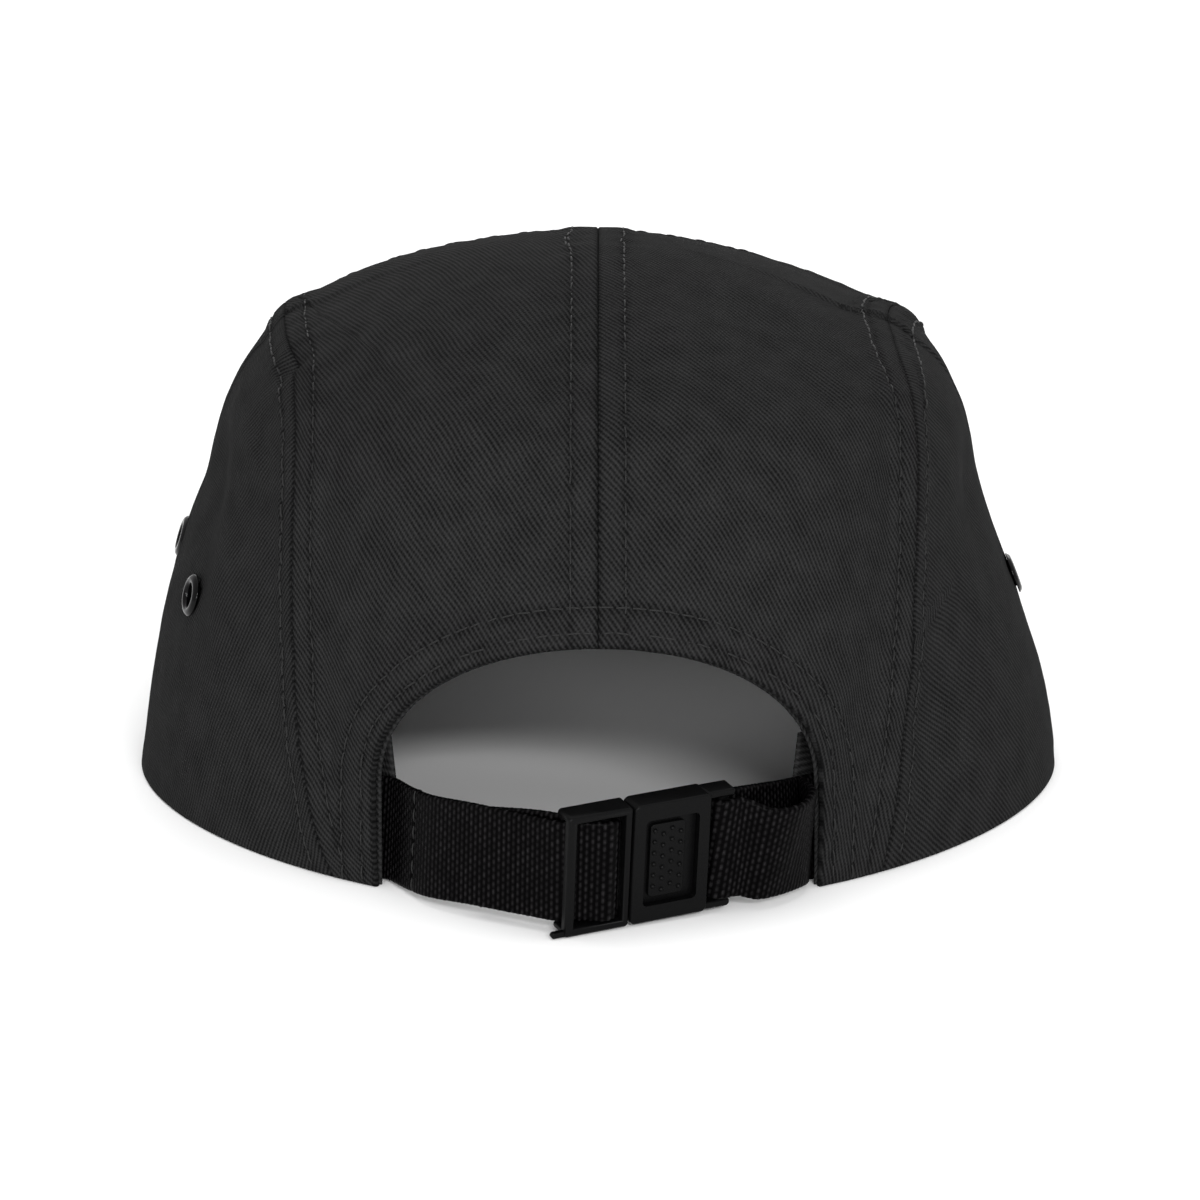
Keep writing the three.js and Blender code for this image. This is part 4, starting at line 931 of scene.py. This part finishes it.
# share of the way, bow outwards, share of the lean, drop of the lower edge, drop of the upper edge
right_bow = [(0.3, 3.6, 0.6, -0.6, 0.0), (0.65, 3.8, 1.1, 0.0, 1.4), (0.88, 2.4, 0.7, 0.5, 1.7)]
loop_lean, loop_rise, tail_rise, webbing_lift = 3.4, 0.1, 0.6, 0.6
slack = 0.4  # how far the left strap keeps clear of the bar and of its own layer
tail_drops = (0.2, 1.6)  # of the loose end behind the left strap, below its rise


def wrap_points(bar_at, toward, edge):
    """Half a turn round a bar of the buckle, from its outer side to its inner side."""
    turns = np.radians(90 - 30 * np.arange(7))
    return [on_buckle(bar_at + toward * wrap_radius * math.cos(t),
                      bar_set + wrap_radius * math.sin(t), edge) for t in turns]


def tuck_points(side, depth, level):
    """The end of a strap below the back panel, from its hidden end to the arch."""
    turns = arch_foot - np.array([1, 0.66, 0.33, 0]) * strap_tuck / rim_radius
    places = place_at_height(turns, level) * np.array([side, 1])
    return list(under_face(places, np.full(4, depth))[0])


def level_way(a, b):
    """The level direction from one point to another."""
    way = (b - a) * np.array([1, 1, 0])
    return way / np.linalg.norm(way)


def left_edge(share):
    """The path of one edge of the left strap; share is 0 for its lower edge and 1 for its upper."""
    middle = strap_depth + webbing_thickness / 2
    behind_bar = -(outer_bar + piece_gap + webbing_thickness / 2)
    local = slot_foot + share * webbing_width
    tuck = tuck_points(1, middle, webbing_lift + share * webbing_width)
    entry = on_buckle(-outer_bar / 2, behind_bar, local)
    way = level_way(tuck[-1], entry)
    outwards = np.array([way[1], -way[0], 0])
    bow = []
    for along, out in left_bow:
        point = tuck[-1] + (entry - tuck[-1]) * along + outwards * out
        point[2] = tuck[-1][2] + (entry[2] - tuck[-1][2]) * (1 - fall(along, 0, 0.6))
        bow.append(point)
    past = on_buckle(-outer_bar - slack, behind_bar, local)
    through = on_buckle(-outer_bar + 0.6 * (inner_bar_at + outer_bar), bar_set / 2, local)
    behind = behind_bar - layer_step
    back = on_buckle((inner_bar_at - outer_bar) / 2, behind, local)
    leave = on_buckle(-outer_bar - 0.6, behind - slack, local + tail_rise / 2)
    tail = [p - outwards * (layer_step + slack) + np.array([0, 0, tail_rise - drop])
            for p, drop in zip((bow[3], bow[2]), tail_drops)]
    return (tuck + bow + [entry, past, through] + wrap_points(inner_bar_at, -1, local)
            + [back, leave] + tail)


def right_edge(share):
    """The same for the right strap, which comes back as a loop."""
    middle = strap_depth + webbing_thickness / 2
    level = webbing_lift + share * webbing_width
    local = slot_foot + share * webbing_width
    outer_tuck = tuck_points(-1, middle, level)
    inner_tuck = tuck_points(-1, middle + layer_step, level)[::-1]
    front = on_buckle(end_bar_at - 3, bar_set + wrap_radius, local)
    back = on_buckle(end_bar_at - 3, bar_set - wrap_radius, local)
    way = level_way(outer_tuck[-1], front)
    outwards = np.array([-way[1], way[0], 0])
    outer = [outer_tuck[-1] + (front - outer_tuck[-1]) * along
             + outwards * (out + share * lean * loop_lean)
             - np.array([0, 0, low + share * (high - low)])
             for along, out, lean, low, high in right_bow]
    inner = [back + (inner_tuck[0] - back) * along + outwards * out + np.array([0, 0, loop_rise])
             for along, out in ((0.35, 0.4), (0.7, 0.6))]
    return (outer_tuck + outer + [front] + wrap_points(end_bar_at, 1, local)
            + [back] + inner + inner_tuck)


yarn_width, yarn_length, yarn_rise, yarn_level = 1.02, 1.45, 0.2, 0.75
yarn_chance = np.random.default_rng(31).random(4096)
# the row that holds the left strap: its place across the cap, and its groove's depth and width
sewn_at, sewn_valley, sewn_width = 33.4, 0.35, 0.5
strap_rows = []


def weave(u, v):
    """How far the floats of webbing stand up, and how light each one happens to be."""
    column = u / yarn_width
    number = np.floor(column)
    step = v / yarn_length + 0.5 * number
    dash = np.floor(step)
    dome = (np.cos(math.pi * (column - number - 0.5)) ** 2
            * np.cos(0.9 * math.pi * (step - dash - 0.5)))
    chance = yarn_chance[(number * 61 + dash).astype(int) % len(yarn_chance)]  # one for each float
    return np.maximum(dome, 0) ** 0.6, chance


def strap(name, edge):
    low, high = smooth_curve(edge(0.0), 60), smooth_curve(edge(1.0), 60)
    length = np.linalg.norm(np.diff((low + high) / 2, axis=0), axis=1).sum()
    pick = np.linspace(0, 1, round(length / (0.26 / fine)))
    low, high = walk(low)(pick), walk(high)(pick)
    across = edge_shares(webbing_width, 0.3 / fine)
    middle = low[None] + (high - low)[None] * across[:, None, None]
    normal = unit(np.cross(np.gradient(middle, axis=1), (high - low)[None]))
    raised, chance = weave((pick * length)[None], across[:, None] * webbing_width)
    stand = webbing_thickness / 2 + yarn_rise * (raised - yarn_level)
    if name == "strap_left":
        line = int(np.argmax(middle[len(across) // 2, :, 0] < sewn_at))
        valley = np.exp(-((pick - pick[line]) * length / sewn_width) ** 2)
        stand = stand - sewn_valley * valley[None]
        # the sewn row's valley gets painted shade: its floats lose their painted highlight
        raised = raised * (1 - 0.8 * valley[None])
        spots = middle + normal * (webbing_thickness / 2 - sewn_valley + 0.15)
        within = (across > 0.07) & (across < 0.93)
        strap_rows.append((spots[within, line], normal[within, line]))
    outer = middle + normal * stand[..., None]
    uv = np.stack(np.broadcast_arrays((pick * length)[None], across[:, None] * webbing_width), -1)
    # each float's height becomes painted light: a painted highlight on the float, scaled by its own
    # random tone
    piece = rolled_wall(name + "_webbing", outer, normal, grid_border(middle), webbing_thickness,
                        uv, roll=0.6, mark=raised * (0.75 + 0.25 * chance))
    cut_sizes[name] = (webbing_width, float(length))
    print(name, "is cut %.0f mm long" % length)
    return piece


straps = {name: strap(name, edge)
          for name, edge in (("strap_left", left_edge), ("strap_right", right_edge))}

# %% [markdown]
# ## Eyelets
# Four black enamelled eyelets let air into the side panels. An eyelet is a thing of
# revolution, so its profile is drawn once and spun round, then set on the cloth along the
# direction in which the cloth faces there.

# %% Spin the eyelets
def eyelet(name, point, out):
    hole, flange = eyelet_hole / 2, eyelet_flange / 2
    # distance from the axis, height above the cloth
    profile = np.array([
        (hole, -2.4), (flange - 0.6, -2.4), (flange - 0.4, -2.2), (flange - 0.6, -1.95),
        (hole + 0.5, -1.9),
        (hole + 0.5, 0.1), (flange - 0.1, 0.12), (flange, 0.25), (flange - 0.12, 0.42),
        (hole + 1.45, 0.82), (hole + 1.0, 0.98), (hole + 0.6, 0.98), (hole + 0.25, 0.82),
        (hole + 0.06, 0.5), (hole, 0.1), (hole, -1.2)])
    turns = np.linspace(0, 2 * math.pi, 48, endpoint=False)
    side = unit(np.cross(out, [0, 0, 1.0]))
    up = np.cross(side, out)
    ring = np.cos(turns)[:, None] * side + np.sin(turns)[:, None] * up
    points = point + profile[:, 0][:, None, None] * ring + profile[:, 1][:, None, None] * out
    n, m = len(profile), len(turns)
    i, j = np.meshgrid(np.arange(n), np.arange(m), indexing="ij")
    here, there, j_next = i * m, (i + 1) % n * m, (j + 1) % m
    faces = np.stack([here + j, here + j_next, there + j_next, there + j], -1)
    return add_mesh(name + "_spun", points.reshape(-1, 3), faces.reshape(-1, 4))


spun = {}
for side, end, behind, level in eyelets:
    node = "eyelet_%s_%s" % (side, end)
    spun[node] = eyelet(node, *eyelet_seat(side, behind, level))
print("eyelets:", sorted(spun))

# %% [markdown]
# ## Stitches with Geometry Nodes
# A row of stitches is one small shape repeated along a path, which is what Geometry Nodes
# are for. The path is a chain of edges that carries the cloth's direction as an attribute.
# The tree turns it into a curve, spaces points on it, lays a short bent thread on each and
# joins all of them into one mesh. A seed gives every thread its own slight slant.

# %% A helper for nodes, and a tree that sews
def add_node(tree, kind, inputs=(), **settings):
    """A node with its settings, each input linked from a socket or given a value."""
    node = tree.nodes.new(kind)
    for key, value in settings.items():
        setattr(node, key, value)
    for key, value in dict(inputs).items():
        if isinstance(value, bpy.types.NodeSocket):
            tree.links.new(value, node.inputs[key])
        else:
            node.inputs[key].default_value = value
    return node


def stitch_tree():
    tree = bpy.data.node_groups.new("Row of stitches", "GeometryNodeTree")
    face = tree.interface
    face.new_socket("Geometry", in_out="INPUT", socket_type="NodeSocketGeometry")
    for name, value in (("Pitch", 0.003), ("Length", 0.0024), ("Thread radius", 0.00018),
                        ("Arch", 0.00022), ("Slant", 0.12)):
        face.new_socket(name, in_out="INPUT", socket_type="NodeSocketFloat").default_value = value
    face.new_socket("Seed", in_out="INPUT", socket_type="NodeSocketInt").default_value = 5
    face.new_socket("Thread", in_out="INPUT", socket_type="NodeSocketMaterial")
    face.new_socket("Geometry", in_out="OUTPUT", socket_type="NodeSocketGeometry")

    def add(kind, inputs=(), **settings):
        return add_node(tree, kind, inputs, **settings)

    def times(socket, factor):
        return add("ShaderNodeMath", {0: socket, 1: factor}, operation="MULTIPLY").outputs[0]

    # points along the path
    enter = add("NodeGroupInput").outputs
    curve = add("GeometryNodeMeshToCurve", {0: enter["Geometry"]})
    spaced = add("GeometryNodeResampleCurve", {"Curve": curve.outputs[0], "Length": enter["Pitch"]},
                 mode="LENGTH")

    # one thread: it dips at both ends, bends up between them, and is round
    half = times(enter["Length"], 0.5)
    back, dip = times(half, -1.0), times(enter["Arch"], -1.0)
    ends = {key: add("ShaderNodeCombineXYZ", place).outputs[0]
            for key, place in (("Start", {0: back, 2: dip}), ("Middle", {2: enter["Arch"]}),
                               ("End", {0: half, 2: dip}))}
    bend = add("GeometryNodeCurveQuadraticBezier", {"Resolution": 5, **ends})
    section = add("GeometryNodeCurvePrimitiveCircle",
                  {"Resolution": 6, "Radius": enter["Thread radius"]})
    thread = add("GeometryNodeCurveToMesh", {
        "Curve": bend.outputs[0], "Profile Curve": section.outputs[0], "Fill Caps": True})
    smooth = add("GeometryNodeSetShadeSmooth", {0: thread.outputs[0]})

    # its direction: along the path, standing on the cloth, with a slight slant of its own
    tangent = add("GeometryNodeInputTangent")
    out = add("GeometryNodeInputNamedAttribute", {"Name": "out"}, data_type="FLOAT_VECTOR")
    lie = add("FunctionNodeAlignRotationToVector", {"Vector": tangent.outputs[0]}, axis="X")
    stand = add("FunctionNodeAlignRotationToVector",
                {"Rotation": lie.outputs[0], "Vector": out.outputs["Attribute"]},
                axis="Z", pivot_axis="X")
    chance = add("FunctionNodeRandomValue", {"Seed": enter["Seed"]}, data_type="FLOAT")
    lowest, highest = [s for s in chance.inputs if s.type == "VALUE"][:2]
    tree.links.new(times(enter["Slant"], -1.0), lowest)
    tree.links.new(enter["Slant"], highest)
    number = [s for s in chance.outputs if s.type == "VALUE"][0]
    slant = add("ShaderNodeCombineXYZ", {2: number})
    as_turn = add("FunctionNodeEulerToRotation", {0: slant.outputs[0]})
    turned = add("FunctionNodeRotateRotation", {0: stand.outputs[0], 1: as_turn.outputs[0]},
                 rotation_space="LOCAL")

    # a thread on every point, all in one mesh
    laid = add("GeometryNodeInstanceOnPoints", {
        "Points": spaced.outputs[0], "Instance": smooth.outputs[0], "Rotation": turned.outputs[0]})
    real = add("GeometryNodeRealizeInstances", {0: laid.outputs[0]})
    paint = add("GeometryNodeSetMaterial", {
        "Geometry": real.outputs[0], "Material": enter["Thread"]})
    add("NodeGroupOutput", {0: paint.outputs[0]})
    return tree


sewing = stitch_tree()
print("the sewing tree has", len(sewing.nodes), "nodes")


def applied_mesh(piece):
    """The mesh of an object as its modifiers leave it."""
    bpy.context.view_layer.update()
    graph = bpy.context.evaluated_depsgraph_get()
    return bpy.data.meshes.new_from_object(piece.evaluated_get(graph), depsgraph=graph)


def sew(name, rows, material):
    """One mesh of stitches along several rows, each a list of points and directions."""
    mesh = bpy.data.meshes.new(name)
    points, outs, edges = [], [], []
    for p, n in rows:
        edges += [(len(points) + i, len(points) + i + 1) for i in range(len(p) - 1)]
        points += list(p)
        outs += list(n)
    mesh.from_pydata(metres(points).tolist(), edges, [])
    layer = mesh.attributes.new("out", "FLOAT_VECTOR", "POINT")
    layer.data.foreach_set("vector", np.asarray(outs, np.float32).ravel())
    guide = add_object(name + "_guide", mesh)
    modifier = guide.modifiers.new("sew", "NODES")
    modifier.node_group = sewing
    for socket in sewing.interface.items_tree:
        if socket.name == "Thread":
            modifier[socket.identifier] = material
    sewn = applied_mesh(guide)
    guide.modifiers.remove(modifier)
    bpy.data.objects.remove(guide)
    sewn.name = name
    print(name, len(sewn.polygons), "faces")
    return add_object(name, sewn)

# %% [markdown]
# ## Finishes
# Each finish is a small tree of shader nodes. Cloth reads the flat layout of its pattern
# piece in millimetres, so that a rib is 0.9 mm wide wherever it lies. A few short methods
# add the nodes, so that a recipe reads as a list of steps.

# %% A helper for recipes
class Recipe:
    """A material and the few kinds of node that the finishes need."""

    def __init__(self, name):
        self.material = bpy.data.materials.new(name)
        self.material.use_nodes = True
        self.tree = self.material.node_tree
        self.shader = self.tree.nodes["Principled BSDF"]

    def add(self, kind, inputs=(), **settings):
        return add_node(self.tree, kind, inputs, **settings)

    def set(self, key, socket):
        self.tree.links.new(socket, self.shader.inputs[key])

    def cloth_layout(self):
        return self.add("ShaderNodeUVMap", uv_map="cloth").outputs[0]

    def place(self):
        return self.add("ShaderNodeTexCoord").outputs["Object"]

    def attribute(self, name):
        return self.add("ShaderNodeAttribute", attribute_name=name).outputs["Fac"]

    def math(self, operation, a, b=0.0, c=0.0):
        return self.add("ShaderNodeMath", {0: a, 1: b, 2: c}, operation=operation).outputs[0]

    def noise(self, vector, scale, detail=2.0):
        node = self.add("ShaderNodeTexNoise", {"Vector": vector, "Scale": scale, "Detail": detail})
        return node.outputs["Fac"]

    def wave(self, value):
        return self.math("SINE", self.math("MULTIPLY", value, 2 * math.pi))

    def mix(self, share, dark, light):
        node = self.add("ShaderNodeMix", {0: share, 6: (*dark, 1.0), 7: (*light, 1.0)},
                        data_type="RGBA", clamp_factor=True)
        return node.outputs[2]

    def bump(self, height, distance, strength=1.0):
        inputs = {"Height": height, "Distance": distance, "Strength": strength}
        self.set("Normal", self.add("ShaderNodeBump", inputs).outputs[0])

    def finish(self, color, **constants):
        self.set("Base Color", color)
        for key, value in constants.items():
            self.shader.inputs[key.replace("_", " ")].default_value = value
        return self.material

# %% [markdown]
# ## Twill
# In twill the weft steps one thread sideways in each row, which draws slanting ribs across
# the cloth. Each rib is a string of short floats, so a second, finer wave crosses it. A
# washed black cloth is never one black: folded edges are rubbed lighter, and stray fibres
# catch the light. The ribs and floats are painted greyer than the grooves between them, as
# painted light and shade on the weave, and the seams and rows of stitches take painted shade.

# %% The twill recipe
def twill(name, pitch, deep, float_length=0.62):
    """Pitch and float length in millimetres of the flat layout, the bump's depth in metres."""
    r = Recipe(name)
    uv = r.cloth_layout()
    axes = r.add("ShaderNodeSeparateXYZ", {0: uv}).outputs
    sway = r.math("MULTIPLY", r.math("SUBTRACT", r.noise(uv, 0.05), 0.5), 2.2)
    across = r.math("DIVIDE", r.math("ADD", axes[0], sway), pitch)
    along = r.math("DIVIDE", axes[1], float_length)
    rib = r.wave(across)
    floats = r.wave(r.math("ADD", along, r.math("MULTIPLY", across, 0.5)))
    fuzz, patchy = r.noise(uv, 2.2, 3.0), r.noise(uv, 0.16, 3.0)
    height = r.math("MULTIPLY_ADD", floats, 0.22, r.math("MULTIPLY", rib, 0.5))
    r.bump(r.math("MULTIPLY_ADD", fuzz, 0.7, height), deep)
    # ribs and floats are painted lighter than the grooves, as painted light and shade on the weave;
    # the last attribute adds painted shade in the seams and stitch valleys
    tone = 0.45
    for value, share in (
            (rib, 0.3), (floats, 0.08), (r.math("SUBTRACT", fuzz, 0.5), 0.9),
            (r.math("SUBTRACT", patchy, 0.5), 0.5),
            (r.attribute("worn"), 0.35), (r.attribute("mark"), -0.45)):
        tone = r.math("MULTIPLY_ADD", value, share, tone)
    color = r.mix(tone, (0.0036, 0.0036, 0.0037), (0.023, 0.023, 0.0232))
    return r.finish(color, Roughness=0.9, Sheen_Weight=0.005, Sheen_Roughness=0.45,
                    Specular_IOR_Level=0.02)


twill_cloth = twill("black_twill", 0.92, 0.00013)
band_cloth = twill("ribbed_band", 1.25, 0.0002, 0.8)
print("twill has", len(twill_cloth.node_tree.nodes), "nodes")

# %% [markdown]
# ## Webbing, thread, moulded plastic and enamel
# Webbing shows upright columns of short floats, each column half a step from the next. The
# buckle is moulded with a fine sparked grain, smooth enough for soft highlights on its
# edges, and the eyelets are enamelled, so they mirror the room.

# %% The other recipes
def webbing():
    """Each float's height, stored in the mesh, lightens it as a painted highlight; the gaps between
    them stay dark as painted shade.
    """
    r = Recipe("black_webbing")
    yarn = r.noise(r.cloth_layout(), 4.0, 3.0)
    r.bump(yarn, 0.0001, 0.6)
    # painted highlight on each float, painted shade in the gaps between the floats
    tone = r.math("POWER", r.math("MAXIMUM", r.attribute("mark"), 0.0), 3.0)
    tone = r.math("MULTIPLY", tone, r.math("MULTIPLY_ADD", yarn, 1.2, 0.2))
    color = r.mix(tone, (0.0003, 0.0002, 0.0003), (0.02, 0.019, 0.02))
    return r.finish(color, Roughness=0.36, Specular_IOR_Level=0.02)


def thread():
    r = Recipe("sewing_thread")
    twist = r.noise(r.place(), 6000.0, 1.0)
    r.bump(twist, 0.00006)
    color = r.mix(twist, (0.004, 0.004, 0.004), (0.018, 0.018, 0.018))
    return r.finish(color, Roughness=0.6, Sheen_Weight=0.02, Sheen_Roughness=0.4,
                    Specular_IOR_Level=0.15)


def moulded():
    r = Recipe("moulded_plastic")
    place = r.place()
    grain, handled = r.noise(place, 3800.0, 3.0), r.noise(place, 160.0, 3.0)
    r.bump(grain, 0.00004, 0.6)
    r.set("Roughness", r.math("MULTIPLY_ADD", handled, 0.22, 0.3))
    color = r.mix(grain, (0.0006, 0.0006, 0.0007), (0.002, 0.002, 0.0021))
    return r.finish(color, Specular_IOR_Level=0.08)


def enamel():
    r = Recipe("black_enamel")
    cloudy = r.noise(r.place(), 900.0, 3.0)
    r.bump(cloudy, 0.00002, 0.4)
    r.set("Roughness", r.math("MULTIPLY_ADD", cloudy, 0.16, 0.06))
    color = r.mix(cloudy, (0.0008, 0.0008, 0.0009), (0.002, 0.002, 0.0022))
    return r.finish(color, Specular_IOR_Level=0.12)


strap_webbing, black_thread, black_plastic, black_enamel = webbing(), thread(), moulded(), enamel()
print("finishes:", [m.name for m in (twill_cloth, band_cloth, strap_webbing, black_thread,
                                     black_plastic, black_enamel)])

# %% [markdown]
# ## The buckle's halves
# A moulded part has no truly sharp edges: the mould rounds them, and a soft highlight runs
# along each one. The CAD halves have small slopes there. A copy of each is shaded as if
# those slopes were round, by weighting every normal with the size of its face.

# %% Soften the buckle, and give every piece its finish
def softened(node):
    """A copy of a moulded solid, shaded so that the small slopes along its edges look round."""
    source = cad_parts[node]
    net = bmesh.new()
    net.from_mesh(source.data)
    net.transform(source.matrix_world)
    bmesh.ops.remove_doubles(net, verts=net.verts, dist=2e-6)
    for edge in net.edges:
        edge.smooth = edge.calc_face_angle(0) < math.radians(50)
    for face in net.faces:
        face.smooth = True
    mesh = bpy.data.meshes.new(node + "_moulded")
    net.to_mesh(mesh)
    net.free()
    piece = add_object(node + "_moulded", mesh)
    rounding = piece.modifiers.new("rounding", "WEIGHTED_NORMAL")
    rounding.keep_sharp = True
    piece.data = applied_mesh(piece)
    piece.modifiers.remove(rounding)
    piece.data.materials.clear()
    return piece


halves = {node: softened(node) for node in ("buckle_plug", "buckle_socket")}
for pieces, material in ((panels, twill_cloth), (straps, strap_webbing), (spun, black_enamel),
                         (halves, black_plastic)):
    for name, piece in pieces.items():
        piece.data.materials.append(band_cloth if name == "sweatband" else material)
print("softened:", sorted(halves))

# %% [markdown]
# ## Where the stitches run
# Beside both side seams, the centre seam and the seam over the top; twice round the arch;
# round the visor; and across the left strap, where its end is sewn to the hem.

# %% Sew every row
thread_lift, inner_lift = 0.12, 0.02  # of a row of stitches above its valley
visor_row_height = visor_thickness - 0.33  # the rows lie in the grooves of the quilting


def row_on_crown(places, touching, lift=thread_lift):
    face, normal = crown_face(places)
    return face + normal * (relief(face, touching)[0] + lift)[:, None], normal


def seam_row(name, distance, start=0.004, end=0.98):
    path = shifted(seam[name], distance)
    places = mirror(path(np.linspace(start, end, 500)), name)
    return row_on_crown(places, [name], thread_lift if distance < 0 else inner_lift)


crown_rows = [seam_row(name, distance) for name in columns for distance in (-side_row, side_row)]
centre = walk(np.array([[0, top_line + middle_row / cloth_length],
                        [0, arch_places[0][1] - arch_row_pair[1] / cloth_length]]))
top = walk(np.array(top_ends))
for distance in (-middle_row, middle_row):
    down, over = shifted(centre, distance), shifted(top, distance)
    crown_rows.append(row_on_crown(down(np.linspace(0, 1, 200)), ["centre", "arch"]))
    # over the top the rows stop short of the side seams
    crown_rows.append(row_on_crown(over(np.linspace(0.035, 0.965, 200)), ["top"]))
arch_rows = []
for distance in arch_row_pair:
    half_row = shifted(arch_path, -distance)(np.linspace(0, 0.97, 300))
    whole = np.vstack([half_row[:0:-1] * np.array([-1, 1]), half_row])
    arch_rows.append(row_on_crown(whole, ["arch"]))
visor_stitches = []
for distance in visor_rows:
    inner, outer = visor_face(np.array([0.0, 1.0]), np.linspace(0, 1, 240))
    span = np.linalg.norm(outer - inner, axis=-1)
    keep = span > distance + 4  # a row ends where the visor becomes too narrow for it
    inwards = distance / np.maximum(span, 1e-6)
    spot = outer + (inner - outer) * inwards[:, None]
    spot[:, 2] = visor_lift(spot[:, 0]) * (1 - visor_droop * (1 - inwards)) + visor_row_height
    up = np.broadcast_to([0.0, 0.0, 1.0], spot.shape)
    visor_stitches.append((spot[keep], up[keep]))
stitches = {name: sew(name, rows, black_thread) for name, rows in (
    ("crown_stitches", crown_rows), ("arch_stitches", arch_rows),
    ("visor_stitches", visor_stitches), ("strap_stitches", strap_rows))}

# %% [markdown]
# ## The pieces on the body
# Every piece rides on the cap's one body and stands for its CAD solid. The size that each
# sheet of cloth was cut to is printed with its area.

# %% Ride, replace, print the cut sizes
for name, piece in {**panels, **straps}.items():
    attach(piece, "root")
    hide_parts(name)
for name, piece in spun.items():
    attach(piece, "root")
    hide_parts(name)
for name, piece in halves.items():
    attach(piece, "root")
    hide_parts(name)
for name, piece in stitches.items():
    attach(piece, "root")


def one_face_area(piece):
    """Half of a thin closed wall's surface, which is its cloth's flat area."""
    return sum(p.area for p in piece.data.polygons) / 2


for name, piece in {**panels, **straps}.items():
    if name in ("visor", "arch_facing"):
        continue
    width, length = (s / 1000 for s in cut_sizes[name])
    area = min(one_face_area(piece), width * length)
    print("%s: %.0f x %.0f mm, %.1f square cm" % (name, width * 1000, length * 1000, area * 10000))

# %% [markdown]
# ## Camera
# The photograph was taken from behind and a little above, from 0.9 m. A long lens keeps
# the far side nearly as large as the near side. The crown's middle isn't quite in the middle
# of the picture, so the camera is turned a little away from it.

# %% Set the camera
# in the picture's pixels: its width, where the crown's middle is seen, and the focal length
picture, seen_across, seen_down, focal = 1200, 598, 757, 4455
stand_off, film = 0.9, 36  # metres from the crown's middle, millimetres of film
look_down = eye_height - math.atan2(seen_down - picture / 2, focal)
look_aside = math.atan2(picture / 2 - seen_across, focal)
crown_middle = Vector(metres([[0, 0, 0]])[0])
camera = add_object("Camera", bpy.data.cameras.new("Camera"))
camera.location = crown_middle + stand_off * Vector((0, math.cos(eye_height), math.sin(eye_height)))
camera.rotation_euler = (math.pi / 2 - look_down, 0, math.pi - look_aside)
camera.data.sensor_width = film
camera.data.lens = focal / picture * film
bpy.context.scene.camera = camera
print("lens %.1f mm, from %.2f m up" % (camera.data.lens, camera.location.z))

# %% [markdown]
# ## Floor and light
# A white floor under a bright, even sky. Black cloth shows its shape only by the difference
# between soft light and less of it, so four broad lamps are added: a low one that grazes the
# back, a wide fill behind it, one overhead, and one for the front and the visor.

# %% Floor, sky and lamps
floor_corners = np.array([(-4000, -6000, 0), (4000, -6000, 0), (4000, 3000, 0), (-4000, 3000, 0)],
                         float)
floor = add_mesh("floor", floor_corners - shift, [(0, 1, 2, 3)])
white = Recipe("white_floor")
soft_white = white.mix(white.noise(white.place(), 3.0), (0.93, 0.93, 0.93), (0.95, 0.95, 0.95))
floor.data.materials.append(white.finish(soft_white, Roughness=0.9, Specular_IOR_Level=0.1))
sky = bpy.data.worlds.new("soft sky")
sky.use_nodes = True
background = sky.node_tree.nodes["Background"].inputs
background["Color"].default_value = (1, 1, 1, 1)
background["Strength"].default_value = 0.78
bpy.context.scene.world = sky
bpy.context.scene.view_settings.view_transform = "Standard"


def lamp(name, place, size, power):
    """A lamp that looks at the middle of the cap."""
    light = add_object(name, bpy.data.lights.new(name, "AREA"))
    light.data.shape = "RECTANGLE"
    light.data.size, light.data.size_y, light.data.energy = *size, power
    light.location = place
    way = Vector((0, 0, 0.04)) - Vector(place)
    light.rotation_euler = way.to_track_quat("-Z", "Y").to_euler()
    return light


# name, place, width and height, power
lamps = [lamp("low front", (-0.42, 1.8, 0.86), (0.7, 0.16), 20.0),
         lamp("far fill", (0.25, 2.0, 0.42), (1.8, 0.3), 30.0),
         lamp("overhead", (0.0, -0.3, 2.6), (3.0, 3.0), 19.0),
         lamp("front fill", (-0.3, -2.2, 1.2), (2.4, 1.0), 20.0)]
print([light.name for light in lamps])
